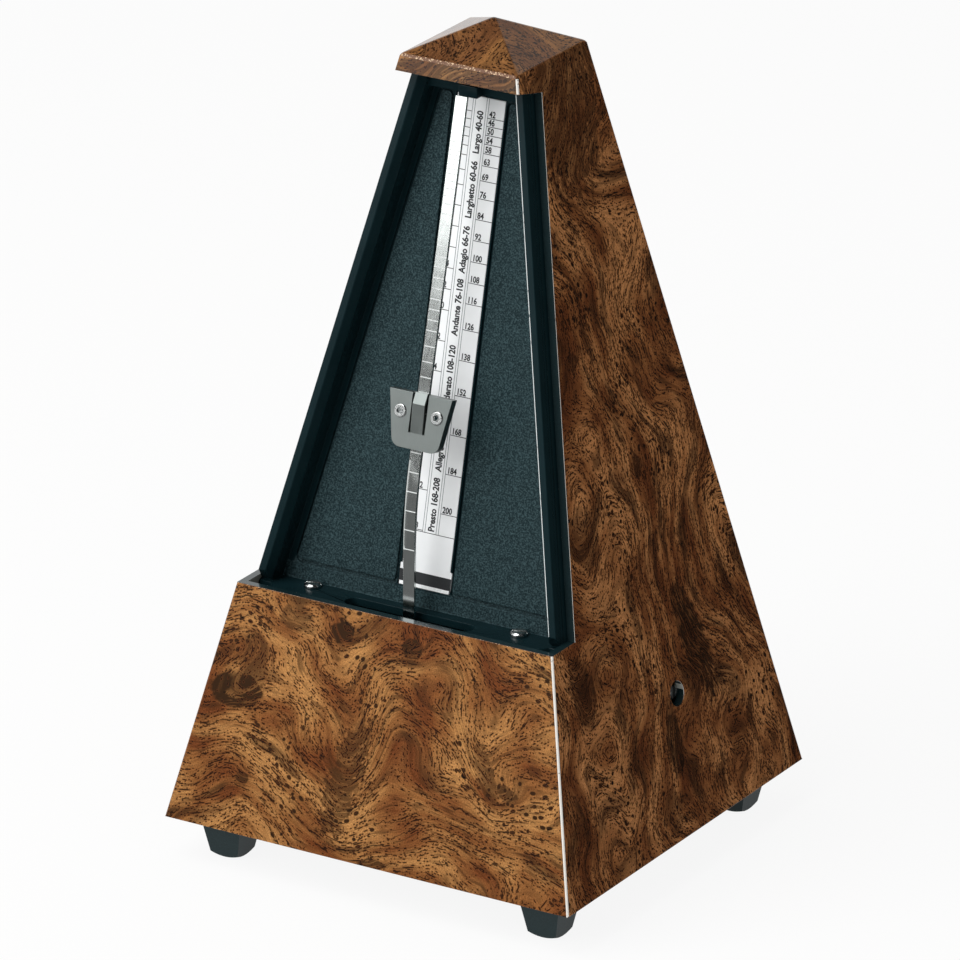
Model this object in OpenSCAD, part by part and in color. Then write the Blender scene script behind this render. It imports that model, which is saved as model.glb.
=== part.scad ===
// Pyramid metronome: a clockwork beat counter in a leaning four-sided casing.
// Millimetres. The origin is on the table under the middle of the base, +Z is up,
// and the scale faces -Y. Heights in the modules are counted from the casing's lower edge.

/* [Casing] */
// Width of the square base
base_w = 117; // [112:1:124]
// Height of the leaning walls, up to the eaves
wall_h = 196.4; // [194:0.2:202]
// Width across the eaves
eaves_w = 33.4; // [32:0.1:36]
// Rise of the hipped roof above the eaves
roof_rise = 7.8; // [5:0.1:11]
// Thickness of the walls, measured level
wall_t = 2.05; // [1.6:0.05:2.3]
// Thickness of the roof, measured upright
roof_t = 2.4; // [2:0.1:3]
// Height of the low front wall
front_wall_h = 61.4; // [60.6:0.1:63]
// Height of the window's upper edge on the front face
window_top = 192.3; // [191.5:0.1:193.4]
// Level depth of the window's cut into the side walls
window_d = 10.8; // [9.4:0.1:12]
// Diameter of the key hole
key_hole_d = 6.3; // [5.6:0.1:7]
// Diameter of the screw bosses inside the casing
boss_d = 6; // [5:0.1:7]

/* [Base and feet] */
// Thickness of the base plate
base_t = 3; // [2.6:0.1:3.4]
// Height of a foot
foot_h = 11.5; // [9:0.5:14]
// Width of a foot at its underside
foot_w = 7.65; // [7:0.05:9]
// Widening of a foot on each side, for each millimetre upwards
foot_flare = 0.19; // [0.1:0.01:0.24]
// Radius of the ball that rounds a foot's underside
foot_dome_r = 12; // [11.5:0.5:16]
// Radius of the flat spot under a foot
foot_flat_r = 3; // [2.4:0.1:3.4]
// Distance of a foot's middle from the casing's sides
foot_in = 12.3; // [11.5:0.1:14.5]
// Diameter of a foot's peg
peg_d = 5; // [4:0.1:6]
// Diameter of the bead that keeps the peg in
bead_d = 7; // [6.6:0.1:8]
// Height of that bead
bead_h = 1.2; // [0.8:0.1:2]

/* [Face frame] */
// Level depth of the grained panels behind the front face
panel_d = 13.5; // [13:0.1:14.5]
// Level depth of the rails' front behind the front face
rail_d = 5.5; // [5.3:0.1:6]
// Width of a rail's front
rail_w = 2.05; // [1.6:0.05:2.4]
// Width of the bevel inside a rail
rail_bevel_w = 1.45; // [1:0.05:2]
// Level depth of the bevel
rail_bevel_d = 2.3; // [1.5:0.1:3]
// Depth of the two ribs' grooves along a rail
rib_d = 0.3; // [0.2:0.05:0.5]
// Depth of the groove around a panel
groove_d = 0.8; // [0.7:0.05:1.2]
// Width of that groove
groove_w = 0.7; // [0.5:0.05:0.9]
// Width of the band between a rail and a groove
side_band_w = 1.6; // [1:0.1:2.4]
// Distance of a panel's inner edge from the middle
panel_in = 8.2; // [7.8:0.1:9]
// Height of a panel's lower edge
panel_z0 = 64.5; // [64:0.1:66]
// Height of a panel's upper edge
panel_z1 = 184.7; // [183:0.1:185.5]
// Radius of a panel's corners
panel_r = 1.2; // [0.6:0.1:1.6]
// Room around the scale plate in its recess
scale_gap = 0.15; // [0.1:0.05:0.2]
// Thickness of the face plate under the grooves
face_t = 2; // [1.6:0.1:2.4]
// Height of the ledge's upper face
ledge_z = 60; // [59.4:0.1:60.4]
// Thickness of the ledge
ledge_t = 2; // [1.6:0.1:2.4]
// Length of the ledge's open corner in front of a rail
corner_l = 8.6; // [6.5:0.1:11]
// Height at which a rail's slanting foot starts
rail_foot_z = 63.4; // [62:0.1:64]
// Height of a rail's lower end
rail_low_z = 55.5; // [54:0.1:57.5]
// Half length of the rod's slot in the ledge
slot_half = 18.3; // [16:0.1:20]
// Width of that slot
slot_w = 4.6; // [4.2:0.1:5]
// Level depth of the bar under the roof
bar_d = 10; // [9:0.1:11]
// Height of the bar's lower edge
bar_z = 186.6; // [186:0.1:187.4]
// Width of the parking lug
lug_w = 5.3; // [4.6:0.1:6]
// Reach of the lug in front of the bar
lug_reach = 3.3; // [2.4:0.1:3.6]
// Distance of the frame screws from the casing's sides
frame_screw_in = 16; // [14.7:0.1:17.7]
// Level distance of the frame screws in front of the panels' plane
frame_screw_gap = 2.7; // [2.5:0.1:3.2]

/* [Scale] */
// Half width of the scale plate
scale_half = 6.85; // [6:0.05:7.2]
// Half width of the label at its foot
label_half = 7.4; // [7.2:0.05:7.6]
// Height of the label
label_h = 5.2; // [4:0.1:7]
// Height of the plate's lower edge
scale_z0 = 64.4; // [64:0.1:65]
// Height of the plate's upper edge
scale_z1 = 185; // [183:0.1:185.8]
// Thickness of the plate
scale_t = 0.5; // [0.3:0.05:0.7]

/* [Pendulum] */
// Height of the pendulum's axis
pivot_z = 36; // [35:0.1:37]
// Width of the rod
rod_w = 3.2; // [2.8:0.1:3.6]
// Thickness of the rod
rod_t = 0.8; // [0.6:0.05:0.9]
// Level depth of the rod's front behind the casing's front face, where the weight is
rod_d = 1.9; // [1.5:0.1:2]
// Growth of that depth for each millimetre upwards
rod_lag = 0.0205; // [0.01:0.0005:0.021]
// Distance of the rod's upright stretch from the front wall's foot
rod_y = 20.3; // [19.8:0.1:20.6]
// Radius of the rod's bend
bend_r = 100; // [60:1:105]
// Height of the rod's tip
rod_top = 188; // [186:0.1:188.4]
// Radius of the eye where the rod is clamped
eye_r = 3.2; // [3:0.1:3.6]
// Radius of the bob
bob_r = 11.5; // [10:0.1:11.9]
// Thickness of the bob
bob_t = 15; // [12:0.1:15.5]
// Distance of the bob's middle below the axis
bob_drop = 20.5; // [19.8:0.1:20.8]
// Furthest swing to each side, in degrees
swing = 26; // [20:1:26]

/* [Sliding weight] */
// Height of the point that the weight is built around
weight_z = 110; // [108:0.5:114]
// Half width of the weight's upper edge
weight_top = 8.9; // [8:0.1:9.2]
// Half width of its lower edge
weight_foot = 6.5; // [6:0.1:7.4]
// Reach of the weight above that point
weight_up = 6.3; // [5.6:0.1:7]
// Reach of the weight below that point
weight_down = 7.7; // [7:0.1:8]
// Radius of its lower corners
weight_r = 2.5; // [1.5:0.1:3]
// Thickness of its front plate
weight_plate_t = 0.8; // [0.6:0.05:1]
// Room between the rod's front and the front plate
weight_gap = 0.35; // [0.2:0.05:0.4]
// Thickness of the body behind the rod
weight_back = 0.35; // [0.3:0.05:0.4]
// Half width of the tongue
tongue_half = 1.75; // [1.5:0.05:2]
// Width of each slit beside the tongue
slit_w = 0.55; // [0.4:0.05:0.8]
// Length of the slits
slit_l = 9.9; // [8:0.1:11]
// Length of the tongue's bent tip
tongue_tip = 2.6; // [2:0.1:3.4]
// Rise of the tongue's bend over the plate
tongue_rise = 0.6; // [0.3:0.05:0.8]
// Distance of the eyelets from the middle
eyelet_x = 5.2; // [4.8:0.1:5.4]
// Height of the eyelets above the weight's middle point
eyelet_v = 1.2; // [0:0.1:2]
// Radius of an eyelet's shank
eyelet_r = 1.2; // [1:0.05:1.4]
// Radius of an eyelet's rim
eyelet_rim_r = 1.85; // [1.7:0.05:2.1]
// Radius of an eyelet's hole
eyelet_hole_r = 0.8; // [0.5:0.05:0.9]
// Thickness of the rims
eyelet_rim_t = 0.3; // [0.2:0.05:0.3]

/* [Movement frame] */
// Distance of the inner plate's left face from the middle
plate_x = 10.5; // [10.2:0.1:11]
// Thickness of both plates
plate_t = 1.5; // [1.2:0.1:1.6]
// Clear distance between the plates
plate_gap = 24; // [23.8:0.1:25]
// Distance of the plates' front edge in front of the escape arbor
plate_front = 13.3; // [12.9:0.1:13.5]
// Distance of the plates' back edge behind the escape arbor
plate_back = 50.5; // [49.5:0.1:53.5]
// Top edge of the plates
plate_z1 = 57; // [56:0.1:57.4]
// Chamfer of the plates' upper corners
plate_chamfer = 6; // [3:0.5:8]
// Width of the plates' feet
plate_foot_w = 8; // [7:0.1:9]
// Diameter of the pillars
pillar_d = 4.4; // [4:0.1:5]
// Inset of the pillars from the plates' edges
pillar_in = 5.5; // [4.5:0.1:6]
// Thickness of the verge's cocks
cock_t = 1.5; // [1.2:0.1:1.6]
// Half width of a cock around the verge
cock_half = 3.5; // [3:0.1:4.2]
// Height of the cocks' fastening above the pendulum's axis
cock_up = 11; // [10.6:0.1:12]
// Height of the cocks' fastening feet
cock_foot_h = 7; // [6.4:0.1:7.6]
// Length of those feet
cock_foot_l = 7.5; // [6.6:0.1:8.2]

/* [Wheels] */
// Distance of the winding arbor behind the escape arbor
arbor_back = 25.8; // [25.1:0.1:26.5]
// Height of the winding arbor
arbor_z = 34.7; // [34.2:0.1:35.2]
// Distance of the escape arbor behind the foot of the front wall
escape_in = 39; // [38.7:0.1:39.3]
// Tooth module of the great wheel and its pinion
great_module = 0.7; // [0.68:0.005:0.7]
// Teeth of the great wheel
great_teeth = 60; // [58:1:60]
// Leaves of the second pinion
second_leaves = 10; // [10:1:12]
// Tooth module of the second wheel and its pinion
second_module = 0.5; // [0.48:0.005:0.5]
// Teeth of the second wheel
second_teeth = 48; // [46:1:50]
// Leaves of the escape pinion
escape_leaves = 8; // [8:1:10]
// Play taken from the thickness of every tooth
tooth_play = 0.08; // [0.06:0.01:0.1]
// Thickness of the great wheel
great_t = 2.5; // [2:0.1:2.8]
// Thickness of the second wheel
second_t = 1.5; // [1.2:0.1:1.8]
// Radius of the crown wheel's tooth ring, to its middle
crown_r = 8.5; // [8.2:0.1:8.7]
// Thickness of the crown wheel's ring
crown_ring_t = 1; // [0.8:0.1:1.2]
// Teeth of the crown wheel
crown_teeth = 15; // [13:2:17]
// Depth of the crown wheel's teeth
crown_tooth_h = 2.4; // [2:0.1:2.8]
// Thickness of the crown wheel's disc
crown_disc_t = 1; // [0.8:0.1:1.2]
// Width of the crown wheel along its arbor
crown_l = 4.6; // [4.2:0.1:5]
// Radius of the barrel
barrel_r = 18; // [17:0.1:18.6]
// Length of the barrel
barrel_l = 14; // [13:0.1:14.4]
// Thickness of the barrel's wall
barrel_t = 1; // [0.8:0.1:1.2]
// Turns of the mainspring
spring_turns = 7; // [5:1:8]
// Thickness of the mainspring
spring_t = 0.6; // [0.4:0.05:0.7]

/* [Arbors] */
// Radius of the verge
verge_r = 1; // [0.9:0.05:1.1]
// Reach of a pallet from the verge's middle
pallet_l = 3; // [2.6:0.1:3]
// Thickness of a pallet
pallet_t = 0.5; // [0.4:0.05:0.6]
// Width of a pallet
pallet_w = 2; // [1.6:0.1:2.2]
// Angle of a pallet from the crown wheel's axis
pallet_angle = 50; // [48:1:54]
// Radius of the winding arbor in the barrel and the outer bush
arbor_r = 2.5; // [2.3:0.05:2.8]
// Radius of the winding arbor's pivot in the inner bush
arbor_pivot_r = 1.5; // [1.3:0.05:1.8]
// Width of the square that carries the ratchet wheel
arbor_square = 3.4; // [3:0.1:3.5]
// Radius of the end that takes the key
key_end_r = 1.9; // [1.7:0.05:2]
// Distance of that end inside the casing's outer face
key_end_in = 0.9; // [0.8:0.1:2.4]
// Chamfer of that end
key_end_chamfer = 0.5; // [0.3:0.05:0.7]
// Radius of the wheels' arbors
wheel_arbor_r = 1.1; // [1:0.05:1.2]
// Radius of their pivots
pivot_r = 0.6; // [0.5:0.05:0.7]
// Radius of the bushes around the winding arbor, beyond its own
bush_wall = 1.6; // [1.2:0.1:2]

/* [Ratchet] */
// Outer radius of the ratchet wheel
ratchet_r = 7.5; // [7:0.1:7.8]
// Teeth of the ratchet wheel
ratchet_teeth = 18; // [14:1:22]
// Depth of its teeth
ratchet_tooth = 0.8; // [0.6:0.1:1]
// Thickness of the ratchet wheel and the click
ratchet_t = 2; // [1.6:0.1:2.4]
// Distance of the click's screw from the winding arbor
click_reach = 14.5; // [14:0.1:15]
// Direction of the click's screw from the winding arbor, in degrees
click_dir = 35; // [32:1:38]
// Furthest lift of the click, in degrees
click_lift = 6; // [4:1:7]

/* [Screws and clearances] */
// Shank diameter of the case and movement screws
screw_d = 2.4; // [2:0.1:2.6]
// Head diameter of those screws
screw_head_d = 4.4; // [4:0.1:4.8]
// Head height of those screws
screw_head_h = 1.1; // [0.9:0.1:1.2]
// Width of the screw slots
screw_slot_w = 0.7; // [0.5:0.05:0.9]
// Length of a case screw's thread in its boss
screw_grip = 7; // [5:0.5:7.5]
// Depth of the bosses' holes
boss_hole = 8; // [7.8:0.1:10]
// Clearance around a fixed pin or screw
fixed_gap = 0.03; // [0.02:0.01:0.05]
// Clearance around a shaft that turns
running_gap = 0.05; // [0.03:0.01:0.08]
// Clearance of pieces set into the casing
fit_gap = 0.1; // [0.05:0.05:0.2]
// Clearance between pieces that pass each other
pass_gap = 0.35; // [0.3:0.05:0.4]

/* [Hidden] */
$fn = 48;

// Casing: level run of a wall for each millimetre of height, and its lean
lean_run = (base_w - eaves_w) / 2 / wall_h;
lean = atan(lean_run);
foot_at = base_w / 2 - foot_in;
eaves_in_z = wall_h - roof_t / 2;
past = 1;
base_boss_h = 11;
base_screw_in = 28.5;
base_screw_x = base_w / 2 - base_screw_in;
base_screw_y = half_at(base_t + base_boss_h) - wall_t / 2 - boss_d / 2;
frame_boss_h = 14;
rib_t = 2;
head_sink = screw_head_h + fit_gap;

// Face frame
frame_in = wall_t + fit_gap;
rail_in = frame_in + rail_w + rail_bevel_w;
groove_floor = panel_d + groove_d;
face_back = groove_floor + face_t;
frame_screw_x = half_at(ledge_z) - frame_screw_in;
frame_screw_y = front_y(ledge_z) + panel_d - frame_screw_gap;
pocket_w = screw_head_d + 1.2;
bar_h = 3.2;
hook_half = 6;
hook_h = 3.5;

// Pendulum: the rod's front face is upright below the bend and leans above it
rod_front = -base_w / 2 + rod_y;
rod_run = lean_run + rod_lag;
rod_lean = atan(rod_run);
bend_z = weight_z - (front_y(weight_z) + rod_d - rod_front) / rod_run;
bend_len = bend_r * tan(rod_lean / 2);
rod_foot = pivot_z - bob_drop - bob_r + 1;
bob_y0 = rod_front - 10.7;
hub_l = 3.2;
nut_l = 2.2;
rivet_r = 0.8;
rivet_head = 0.6;

// Movement
outer_x = plate_x + plate_t + plate_gap;
escape_y = base_w / 2 - escape_in;
arbor_y = arbor_back - escape_y;
plate_y0 = -escape_y - plate_front;
plate_y1 = -escape_y + plate_back;
winding = [arbor_y, arbor_z];
escape = [-escape_y, pivot_z];
great_reach = great_module * (great_teeth + second_leaves) / 2;
second_reach = second_module * (second_teeth + escape_leaves) / 2;
span = norm(escape - winding);
span_dir = atan2(escape[1] - winding[1], escape[0] - winding[0]);
second_off = acos((span * span + great_reach * great_reach - second_reach * second_reach)
    / (2 * span * great_reach));
second = winding + great_reach * [cos(span_dir + second_off), sin(span_dir + second_off)];
great_x = outer_x - 2 - great_t;
barrel_x = great_x - barrel_l;
second_x = plate_x + plate_t + 1.2;
crown_x = plate_x - 2.6 - crown_l;
verge_tip = -escape_y + crown_r;
cock_in = crown_r + pallet_w / 2 + 1.8;
pillar_low = base_t + pillar_in;
pillar_high = plate_z1 - pillar_in;
pillar_spots = [[plate_y0 + pillar_in, pillar_low], [-escape_y, pillar_high],
    [plate_y1 - pillar_in, pillar_low], [plate_y1 - pillar_in, pillar_high]];
plate_foot_l = 42;
foot_hole_spots = [for (dir = [-1, 1]) (plate_y0 + plate_y1) / 2 + dir * (plate_foot_l / 2 - 5)];
key_end_x = half_at(arbor_z) - key_end_in;
click_spot = winding + click_reach * [cos(click_dir), sin(click_dir)];
click_x = outer_x + plate_t + 0.2;
click_eye_r = 2.2;
click_pin_r = 1.3;
spring_spot = click_spot + [1.5, 8];
spring_leaf_t = 0.4;

// Level half width of the casing at height z, and its front face there
function half_at(z) = base_w / 2 - lean_run * z;
function front_y(z) = -half_at(z);

// Height of the window's upper edge at level depth d
function window_z(d) = window_top - lean_run * d / (1 + lean_run * lean_run);

// Points on an arc about c, from angle a0 to a1
function arc(c, r, a0, a1, n = 8) =
    [for (i = [0:n]) let (a = a0 + (a1 - a0) * i / n) c + r * [cos(a), sin(a)]];

// Corner of a polygon at p, rounded between the directions to its neighbours
function unit(v) = v / norm(v);
function round_corner(a, p, b, r, n = 6) =
    let (u = unit(a - p), w = unit(b - p), half = acos(u * w) / 2, c = p + unit(u + w) * r / sin(half),
        t0 = p + u * r / tan(half), t1 = p + w * r / tan(half),
        s0 = atan2(t0[1] - c[1], t0[0] - c[0]), s1 = atan2(t1[1] - c[1], t1[0] - c[0]),
        turn = s1 - s0 > 180 ? s1 - s0 - 360 : s1 - s0 < -180 ? s1 - s0 + 360 : s1 - s0)
    arc(c, r, s0, s0 + turn, n);
function rounded(pts, r) = [for (i = [0:len(pts) - 1])
    each round_corner(pts[(i + len(pts) - 1) % len(pts)], pts[i], pts[(i + 1) % len(pts)], r)];

module on_feet() translate([0, 0, foot_h]) children();

// Stands a drawing up along X: its x becomes Y, its y becomes Z, and it grows towards +X from x
module along_x(x, at = [0, 0]) translate([x, at[0], at[1]]) rotate([90, 0, 90]) children();

// Lays a round piece along Y, growing towards +Y from y
module along_y(y, x = 0, z = 0) translate([x, y, z]) rotate([-90, 0, 0]) children();

// Plane parallel to the front face at level depth d; a drawing's y runs up the slope
module on_slope(d) translate([0, -base_w / 2 + d, 0]) rotate([90 - lean, 0, 0]) children();

// Block with the same lean on all four sides, from a drawing of its half outline
module four_sided(half, peak) {
    outline = concat(half, [[0, peak]], [for (i = [len(half) - 1:-1:0]) [-half[i][0], half[i][1]]]);
    intersection() {
        rotate([90, 0, 0]) linear_extrude(2 * base_w, center = true) polygon(outline);
        rotate([90, 0, 90]) linear_extrude(2 * base_w, center = true) polygon(outline);
    }
}

// The casing's leaning block between two heights, drawn in by inset
module lean_block(inset, z0, z1) four_sided([[half_at(z0) - inset, z0], [half_at(z1) - inset, z1]], z1);

// Pan-head screw: the head stands on z = 0 and the shank goes down
module pan_screw(shank, turn = 0) {
    difference() {
        union() {
            cylinder(h = screw_head_h * 0.6, d = screw_head_d);
            translate([0, 0, screw_head_h * 0.6])
                cylinder(h = screw_head_h * 0.4, d1 = screw_head_d, d2 = screw_head_d * 0.8);
        }
        rotate(turn) translate([-screw_head_d, -screw_slot_w / 2, screw_head_h / 2])
            cube([2 * screw_head_d, screw_slot_w, screw_head_h]);
    }
    translate([0, 0, -shank]) cylinder(h = shank + 0.01, d = screw_d);
}
module screw_hole(depth) translate([0, 0, -depth]) cylinder(h = depth + past, d = screw_d + 2 * fixed_gap);

// Boss that hangs on the front or back wall by a rib; side is -1 in front
module wall_boss(x, y, z0, z1, side) {
    translate([x, y, z0]) cylinder(h = z1 - z0, d = boss_d);
    root = wall_t / 2;
    translate([x - rib_t / 2, 0, 0]) rotate([90, 0, 90]) linear_extrude(rib_t)
        polygon([[y, z0], [side * (half_at(z0) - root), z0], [side * (half_at(z1) - root), z1], [y, z1]]);
}

module casing() {
    color("saddlebrown") on_feet() difference() {
        union() {
            difference() {
                four_sided([[half_at(0), 0], [eaves_w / 2, wall_h]], wall_h + roof_rise);
                four_sided([[half_at(-past) - wall_t, -past], [half_at(eaves_in_z) - wall_t, eaves_in_z]],
                    wall_h + roof_rise - roof_t);
            }
            for (x = [-base_screw_x, base_screw_x], side = [-1, 1])
                wall_boss(x, side * base_screw_y, base_t, base_t + base_boss_h, side);
            for (x = [-frame_screw_x, frame_screw_x])
                wall_boss(x, frame_screw_y, ledge_z - ledge_t - frame_boss_h, ledge_z - ledge_t, -1);
        }
        window_cut();
        along_x(0, winding) cylinder(h = base_w, d = key_hole_d);
        for (x = [-base_screw_x, base_screw_x], side = [-1, 1])
            translate([x, side * base_screw_y, base_t + boss_hole]) screw_hole(boss_hole + past);
        for (x = [-frame_screw_x, frame_screw_x])
            translate([x, frame_screw_y, ledge_z - ledge_t]) screw_hole(boss_hole);
    }
}

// Room of the window: level at the foot, square to the front face at the top
module window_cut() {
    back_z = window_z(window_d);
    out = 30;
    along_x(-base_w) linear_extrude(2 * base_w) polygon([
        [front_y(front_wall_h) - out, front_wall_h],
        [front_y(front_wall_h) + window_d, front_wall_h],
        [front_y(back_z) + window_d, back_z],
        [front_y(window_top) - out, window_top + out * lean_run]]);
}

module base_plate() {
    color("dimgray") on_feet() difference() {
        lean_block(wall_t + fit_gap, 0, base_t);
        for (x = [-base_screw_x, base_screw_x], y = [-base_screw_y, base_screw_y]) translate([x, y, 0]) {
            translate([0, 0, base_t]) screw_hole(base_t + past);
            translate([0, 0, -past]) cylinder(h = head_sink + past, d = screw_head_d + 2 * fit_gap);
        }
        for (x = [-foot_at, foot_at], y = [-foot_at, foot_at])
            translate([x, y, -past]) cylinder(h = base_t + 2 * past, d = peg_d + 2 * fit_gap);
        for (x = movement_foot_x(), y = foot_hole_spots)
            translate([x, y, base_t]) screw_hole(base_t + past);
    }
}

// Middle lines of the plates' feet
function movement_foot_x() = [plate_x - plate_foot_w / 2, outer_x + plate_t + plate_foot_w / 2];

module foot(sx, sy) {
    top_half = foot_w / 2 + foot_flare * foot_h;
    outline = [[-foot_w / 2, -foot_h], [foot_w / 2, -foot_h], [top_half, 0], [-top_half, 0]];
    color("#20282a") on_feet() translate([sx * foot_at, sy * foot_at, 0]) {
        intersection() {
            rotate([90, 0, 0]) linear_extrude(4 * foot_w, center = true) polygon(outline);
            rotate([90, 0, 90]) linear_extrude(4 * foot_w, center = true) polygon(outline);
            translate([0, 0, -foot_h + sqrt(foot_dome_r * foot_dome_r - foot_flat_r * foot_flat_r)])
                sphere(r = foot_dome_r);
        }
        cylinder(h = base_t, d = peg_d);
        translate([0, 0, base_t]) cylinder(h = bead_h, d1 = bead_d, d2 = peg_d);
    }
}
module foot_front_left() foot(-1, -1);
module foot_front_right() foot(1, -1);
module foot_back_left() foot(-1, 1);
module foot_back_right() foot(1, 1);

module base_screws() {
    color("silver") on_feet() for (x = [-base_screw_x, base_screw_x], y = [-base_screw_y, base_screw_y])
        translate([x, y, head_sink]) mirror([0, 0, 1])
            pan_screw(base_t - head_sink + screw_grip);
}

// Face frame ---------------------------------------------------------------------------

// Cross-section of a rail as [inset from the casing's side, level depth]
function rail_section() = concat(
    [[frame_in, rail_d], [frame_in + rail_w, rail_d], [rail_in, rail_d + rail_bevel_d],
        [rail_in, face_back], [frame_in, face_back]],
    [for (d = [rail_d + 3.9, rail_d + 2.6], p = [[0, 0.3], [rib_d, 0.1], [rib_d, -0.1], [0, -0.3]])
        [frame_in + p[0], d + p[1]]]);

// Lets an upright piece lean with the casing's front corner: its x is the inset and its y the depth
module lean_with_corner(side) multmatrix([[-side, 0, -side * lean_run, side * base_w / 2],
    [0, 1, lean_run, -base_w / 2], [0, 0, 1, 0], [0, 0, 0, 1]]) children();

// Rail from inside the front wall up to the window's edge; its foot slants down and back
module rail(side) {
    p = [front_y(rail_foot_z) + rail_d, rail_foot_z];
    q = [front_y(rail_low_z) + panel_d, rail_low_z];
    difference() {
        lean_with_corner(side) translate([0, 0, rail_low_z]) linear_extrude(wall_h - rail_low_z)
            polygon(rail_section());
        along_x(-base_w) linear_extrude(2 * base_w) polygon([
            for (d = [-10, face_back + 10]) let (z = window_z(d) - fit_gap) [front_y(z) + d, z],
            [0, 2 * wall_h], [-base_w / 2, 2 * wall_h]]);
        along_x(-base_w) linear_extrude(2 * base_w)
            polygon([2 * p - q, 2 * q - p, [2 * p[0] - q[0], q[1] - 20]]);
    }
}

// Outline on the slope between heights z0 and z1, drawn in from the casing's sides
function slope_y(z) = z / cos(lean);
function slope_outline(inset, z0, z1) = let (a = half_at(z0) - inset, b = half_at(z1) - inset)
    [[-a, slope_y(z0)], [a, slope_y(z0)], [b, slope_y(z1)], [-b, slope_y(z1)]];

// Outline of the right panel, grown by g
function panel_outline(g) = let (inset = rail_in + side_band_w + groove_w, a = half_at(panel_z0) - inset,
    b = max(panel_in + 2 * panel_r + 0.4, half_at(panel_z1) - inset), c = panel_in - g)
    rounded([[c, slope_y(panel_z0) - g], [a + g, slope_y(panel_z0) - g], [b + g, slope_y(panel_z1) + g],
        [c, slope_y(panel_z1) + g]], panel_r + g);

// Slab on the slope: front at level depth d0, back at level depth d1
module slope_slab(d0, d1, outline) on_slope(d1) linear_extrude((d1 - d0) * cos(lean)) polygon(outline);

module face_frame() {
    top_z = bar_z + bar_h;
    color("#1c2a2e") on_feet() difference() {
        union() {
            for (side = [-1, 1]) rail(side);
            slope_slab(panel_d, face_back, slope_outline(rail_in - 1, ledge_z - ledge_t / 2, top_z - 1));
            ledge();
            top_bar();
        }
        for (side = [0, 1]) mirror([side, 0, 0]) difference() {
            slope_slab(panel_d - past, groove_floor, panel_outline(groove_w));
            slope_slab(panel_d - 2 * past, groove_floor + past, panel_outline(0));
        }
        // recess of the scale plate
        slope_slab(panel_d - past, groove_floor, scale_outline(scale_gap));
        // slot for the rod, with round ends
        for (side = [-1, 1]) translate([side * (slot_half - slot_w / 2), slot_y(), ledge_z - 2 * ledge_t])
            cylinder(h = 3 * ledge_t, d = slot_w);
        translate([-slot_half + slot_w / 2, slot_y() - slot_w / 2, ledge_z - 2 * ledge_t])
            cube([2 * slot_half - slot_w, slot_w, 3 * ledge_t]);
        for (x = [-frame_screw_x, frame_screw_x]) {
            translate([x, frame_screw_y, ledge_z]) screw_hole(2 * ledge_t);
            // pocket that clears the screw's head
            translate([x - pocket_w / 2, frame_screw_y - pocket_w / 2, ledge_z])
                cube([pocket_w, pocket_w, screw_head_h + 1.4]);
        }
    }
}

// Ledge behind the front wall's edge, with a corner left open in front of each rail
module ledge() {
    difference() {
        intersection() {
            translate([-base_w, -base_w, ledge_z - ledge_t])
                cube([2 * base_w, base_w + front_y(ledge_z) + face_back, ledge_t]);
            lean_block(frame_in, ledge_z - 2 * ledge_t, ledge_z + ledge_t);
        }
        for (side = [-1, 1]) lean_with_corner(side) translate([0, 0, ledge_z - 2 * ledge_t])
            linear_extrude(3 * ledge_t) polygon([[-past, -past], [corner_l, -past],
                [corner_l, wall_t + 1.5], [rail_in, rail_d + rail_bevel_d], [-past, rail_d + rail_bevel_d]]);
    }
}

// Middle line of the rod's slot
function slot_y() = rod_front + rod_t / 2;

// Bar under the roof, its parking lug, and the tab that reaches up into the roof
module top_bar() {
    half = half_at(bar_z + bar_h) - rail_in + 1;
    y0 = front_y(bar_z) + bar_d;
    y1 = front_y(bar_z) + face_back;
    translate([-half, y0, bar_z]) cube([2 * half, y1 - y0, bar_h]);
    translate([-lug_w / 2, y0 - lug_reach, bar_z + 0.3]) cube([lug_w, lug_reach + past, bar_h - 0.3]);
    translate([-hook_half, y1 - face_t, bar_z]) cube([2 * hook_half, face_t, bar_h + hook_h]);
}

// Outline of the scale plate, grown by g
function scale_outline(g) =
    let (a = scale_half + g, b = label_half + g, z = slope_y(scale_z0 + label_h) + g,
        lo = slope_y(scale_z0) - g, hi = slope_y(scale_z1) + g)
    [[-b, lo], [b, lo], [b, z], [a, z], [a, hi], [-a, hi], [-a, z], [-b, z]];
module scale_plate() {
    color("gainsboro") on_feet() slope_slab(groove_floor - scale_t, groove_floor, scale_outline(0));
}

module frame_screws() {
    color("silver") on_feet() for (x = [-frame_screw_x, frame_screw_x])
        translate([x, frame_screw_y, ledge_z]) pan_screw(ledge_t + screw_grip, turn = 20);
}

// Pendulum -----------------------------------------------------------------------------

// Front line of the rod as [y, z]: upright, bent, leaning; deeper is set back by t
function rod_line(t) =
    let (c = [rod_front + bend_r, bend_z - bend_len], r = bend_r - t,
        top = rod_top - t * sin(rod_lean), y_top = rod_front + (rod_top - bend_z) * rod_run)
    concat([[rod_front + t, rod_foot]], [for (p = arc([c[0], c[1]], r, 180, 180 - rod_lean, 16)) p],
        [[y_top + t * cos(rod_lean), top]]);

module pendulum_rod() {
    front = rod_line(0);
    back = rod_line(rod_t);
    color("lightgray") on_feet() difference() {
        union() {
            along_x(-rod_w / 2) linear_extrude(rod_w)
                polygon(concat(front, [for (i = [len(back) - 1:-1:0]) back[i]]));
            along_y(rod_front, 0, pivot_z) cylinder(h = rod_t, r = eye_r);
        }
        along_y(rod_front - past, 0, pivot_z) cylinder(h = rod_t + 2 * past, r = verge_r + fixed_gap);
        along_y(rod_front - past, 0, pivot_z - bob_drop)
            cylinder(h = rod_t + 2 * past, r = rivet_r + fixed_gap);
    }
}

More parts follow.
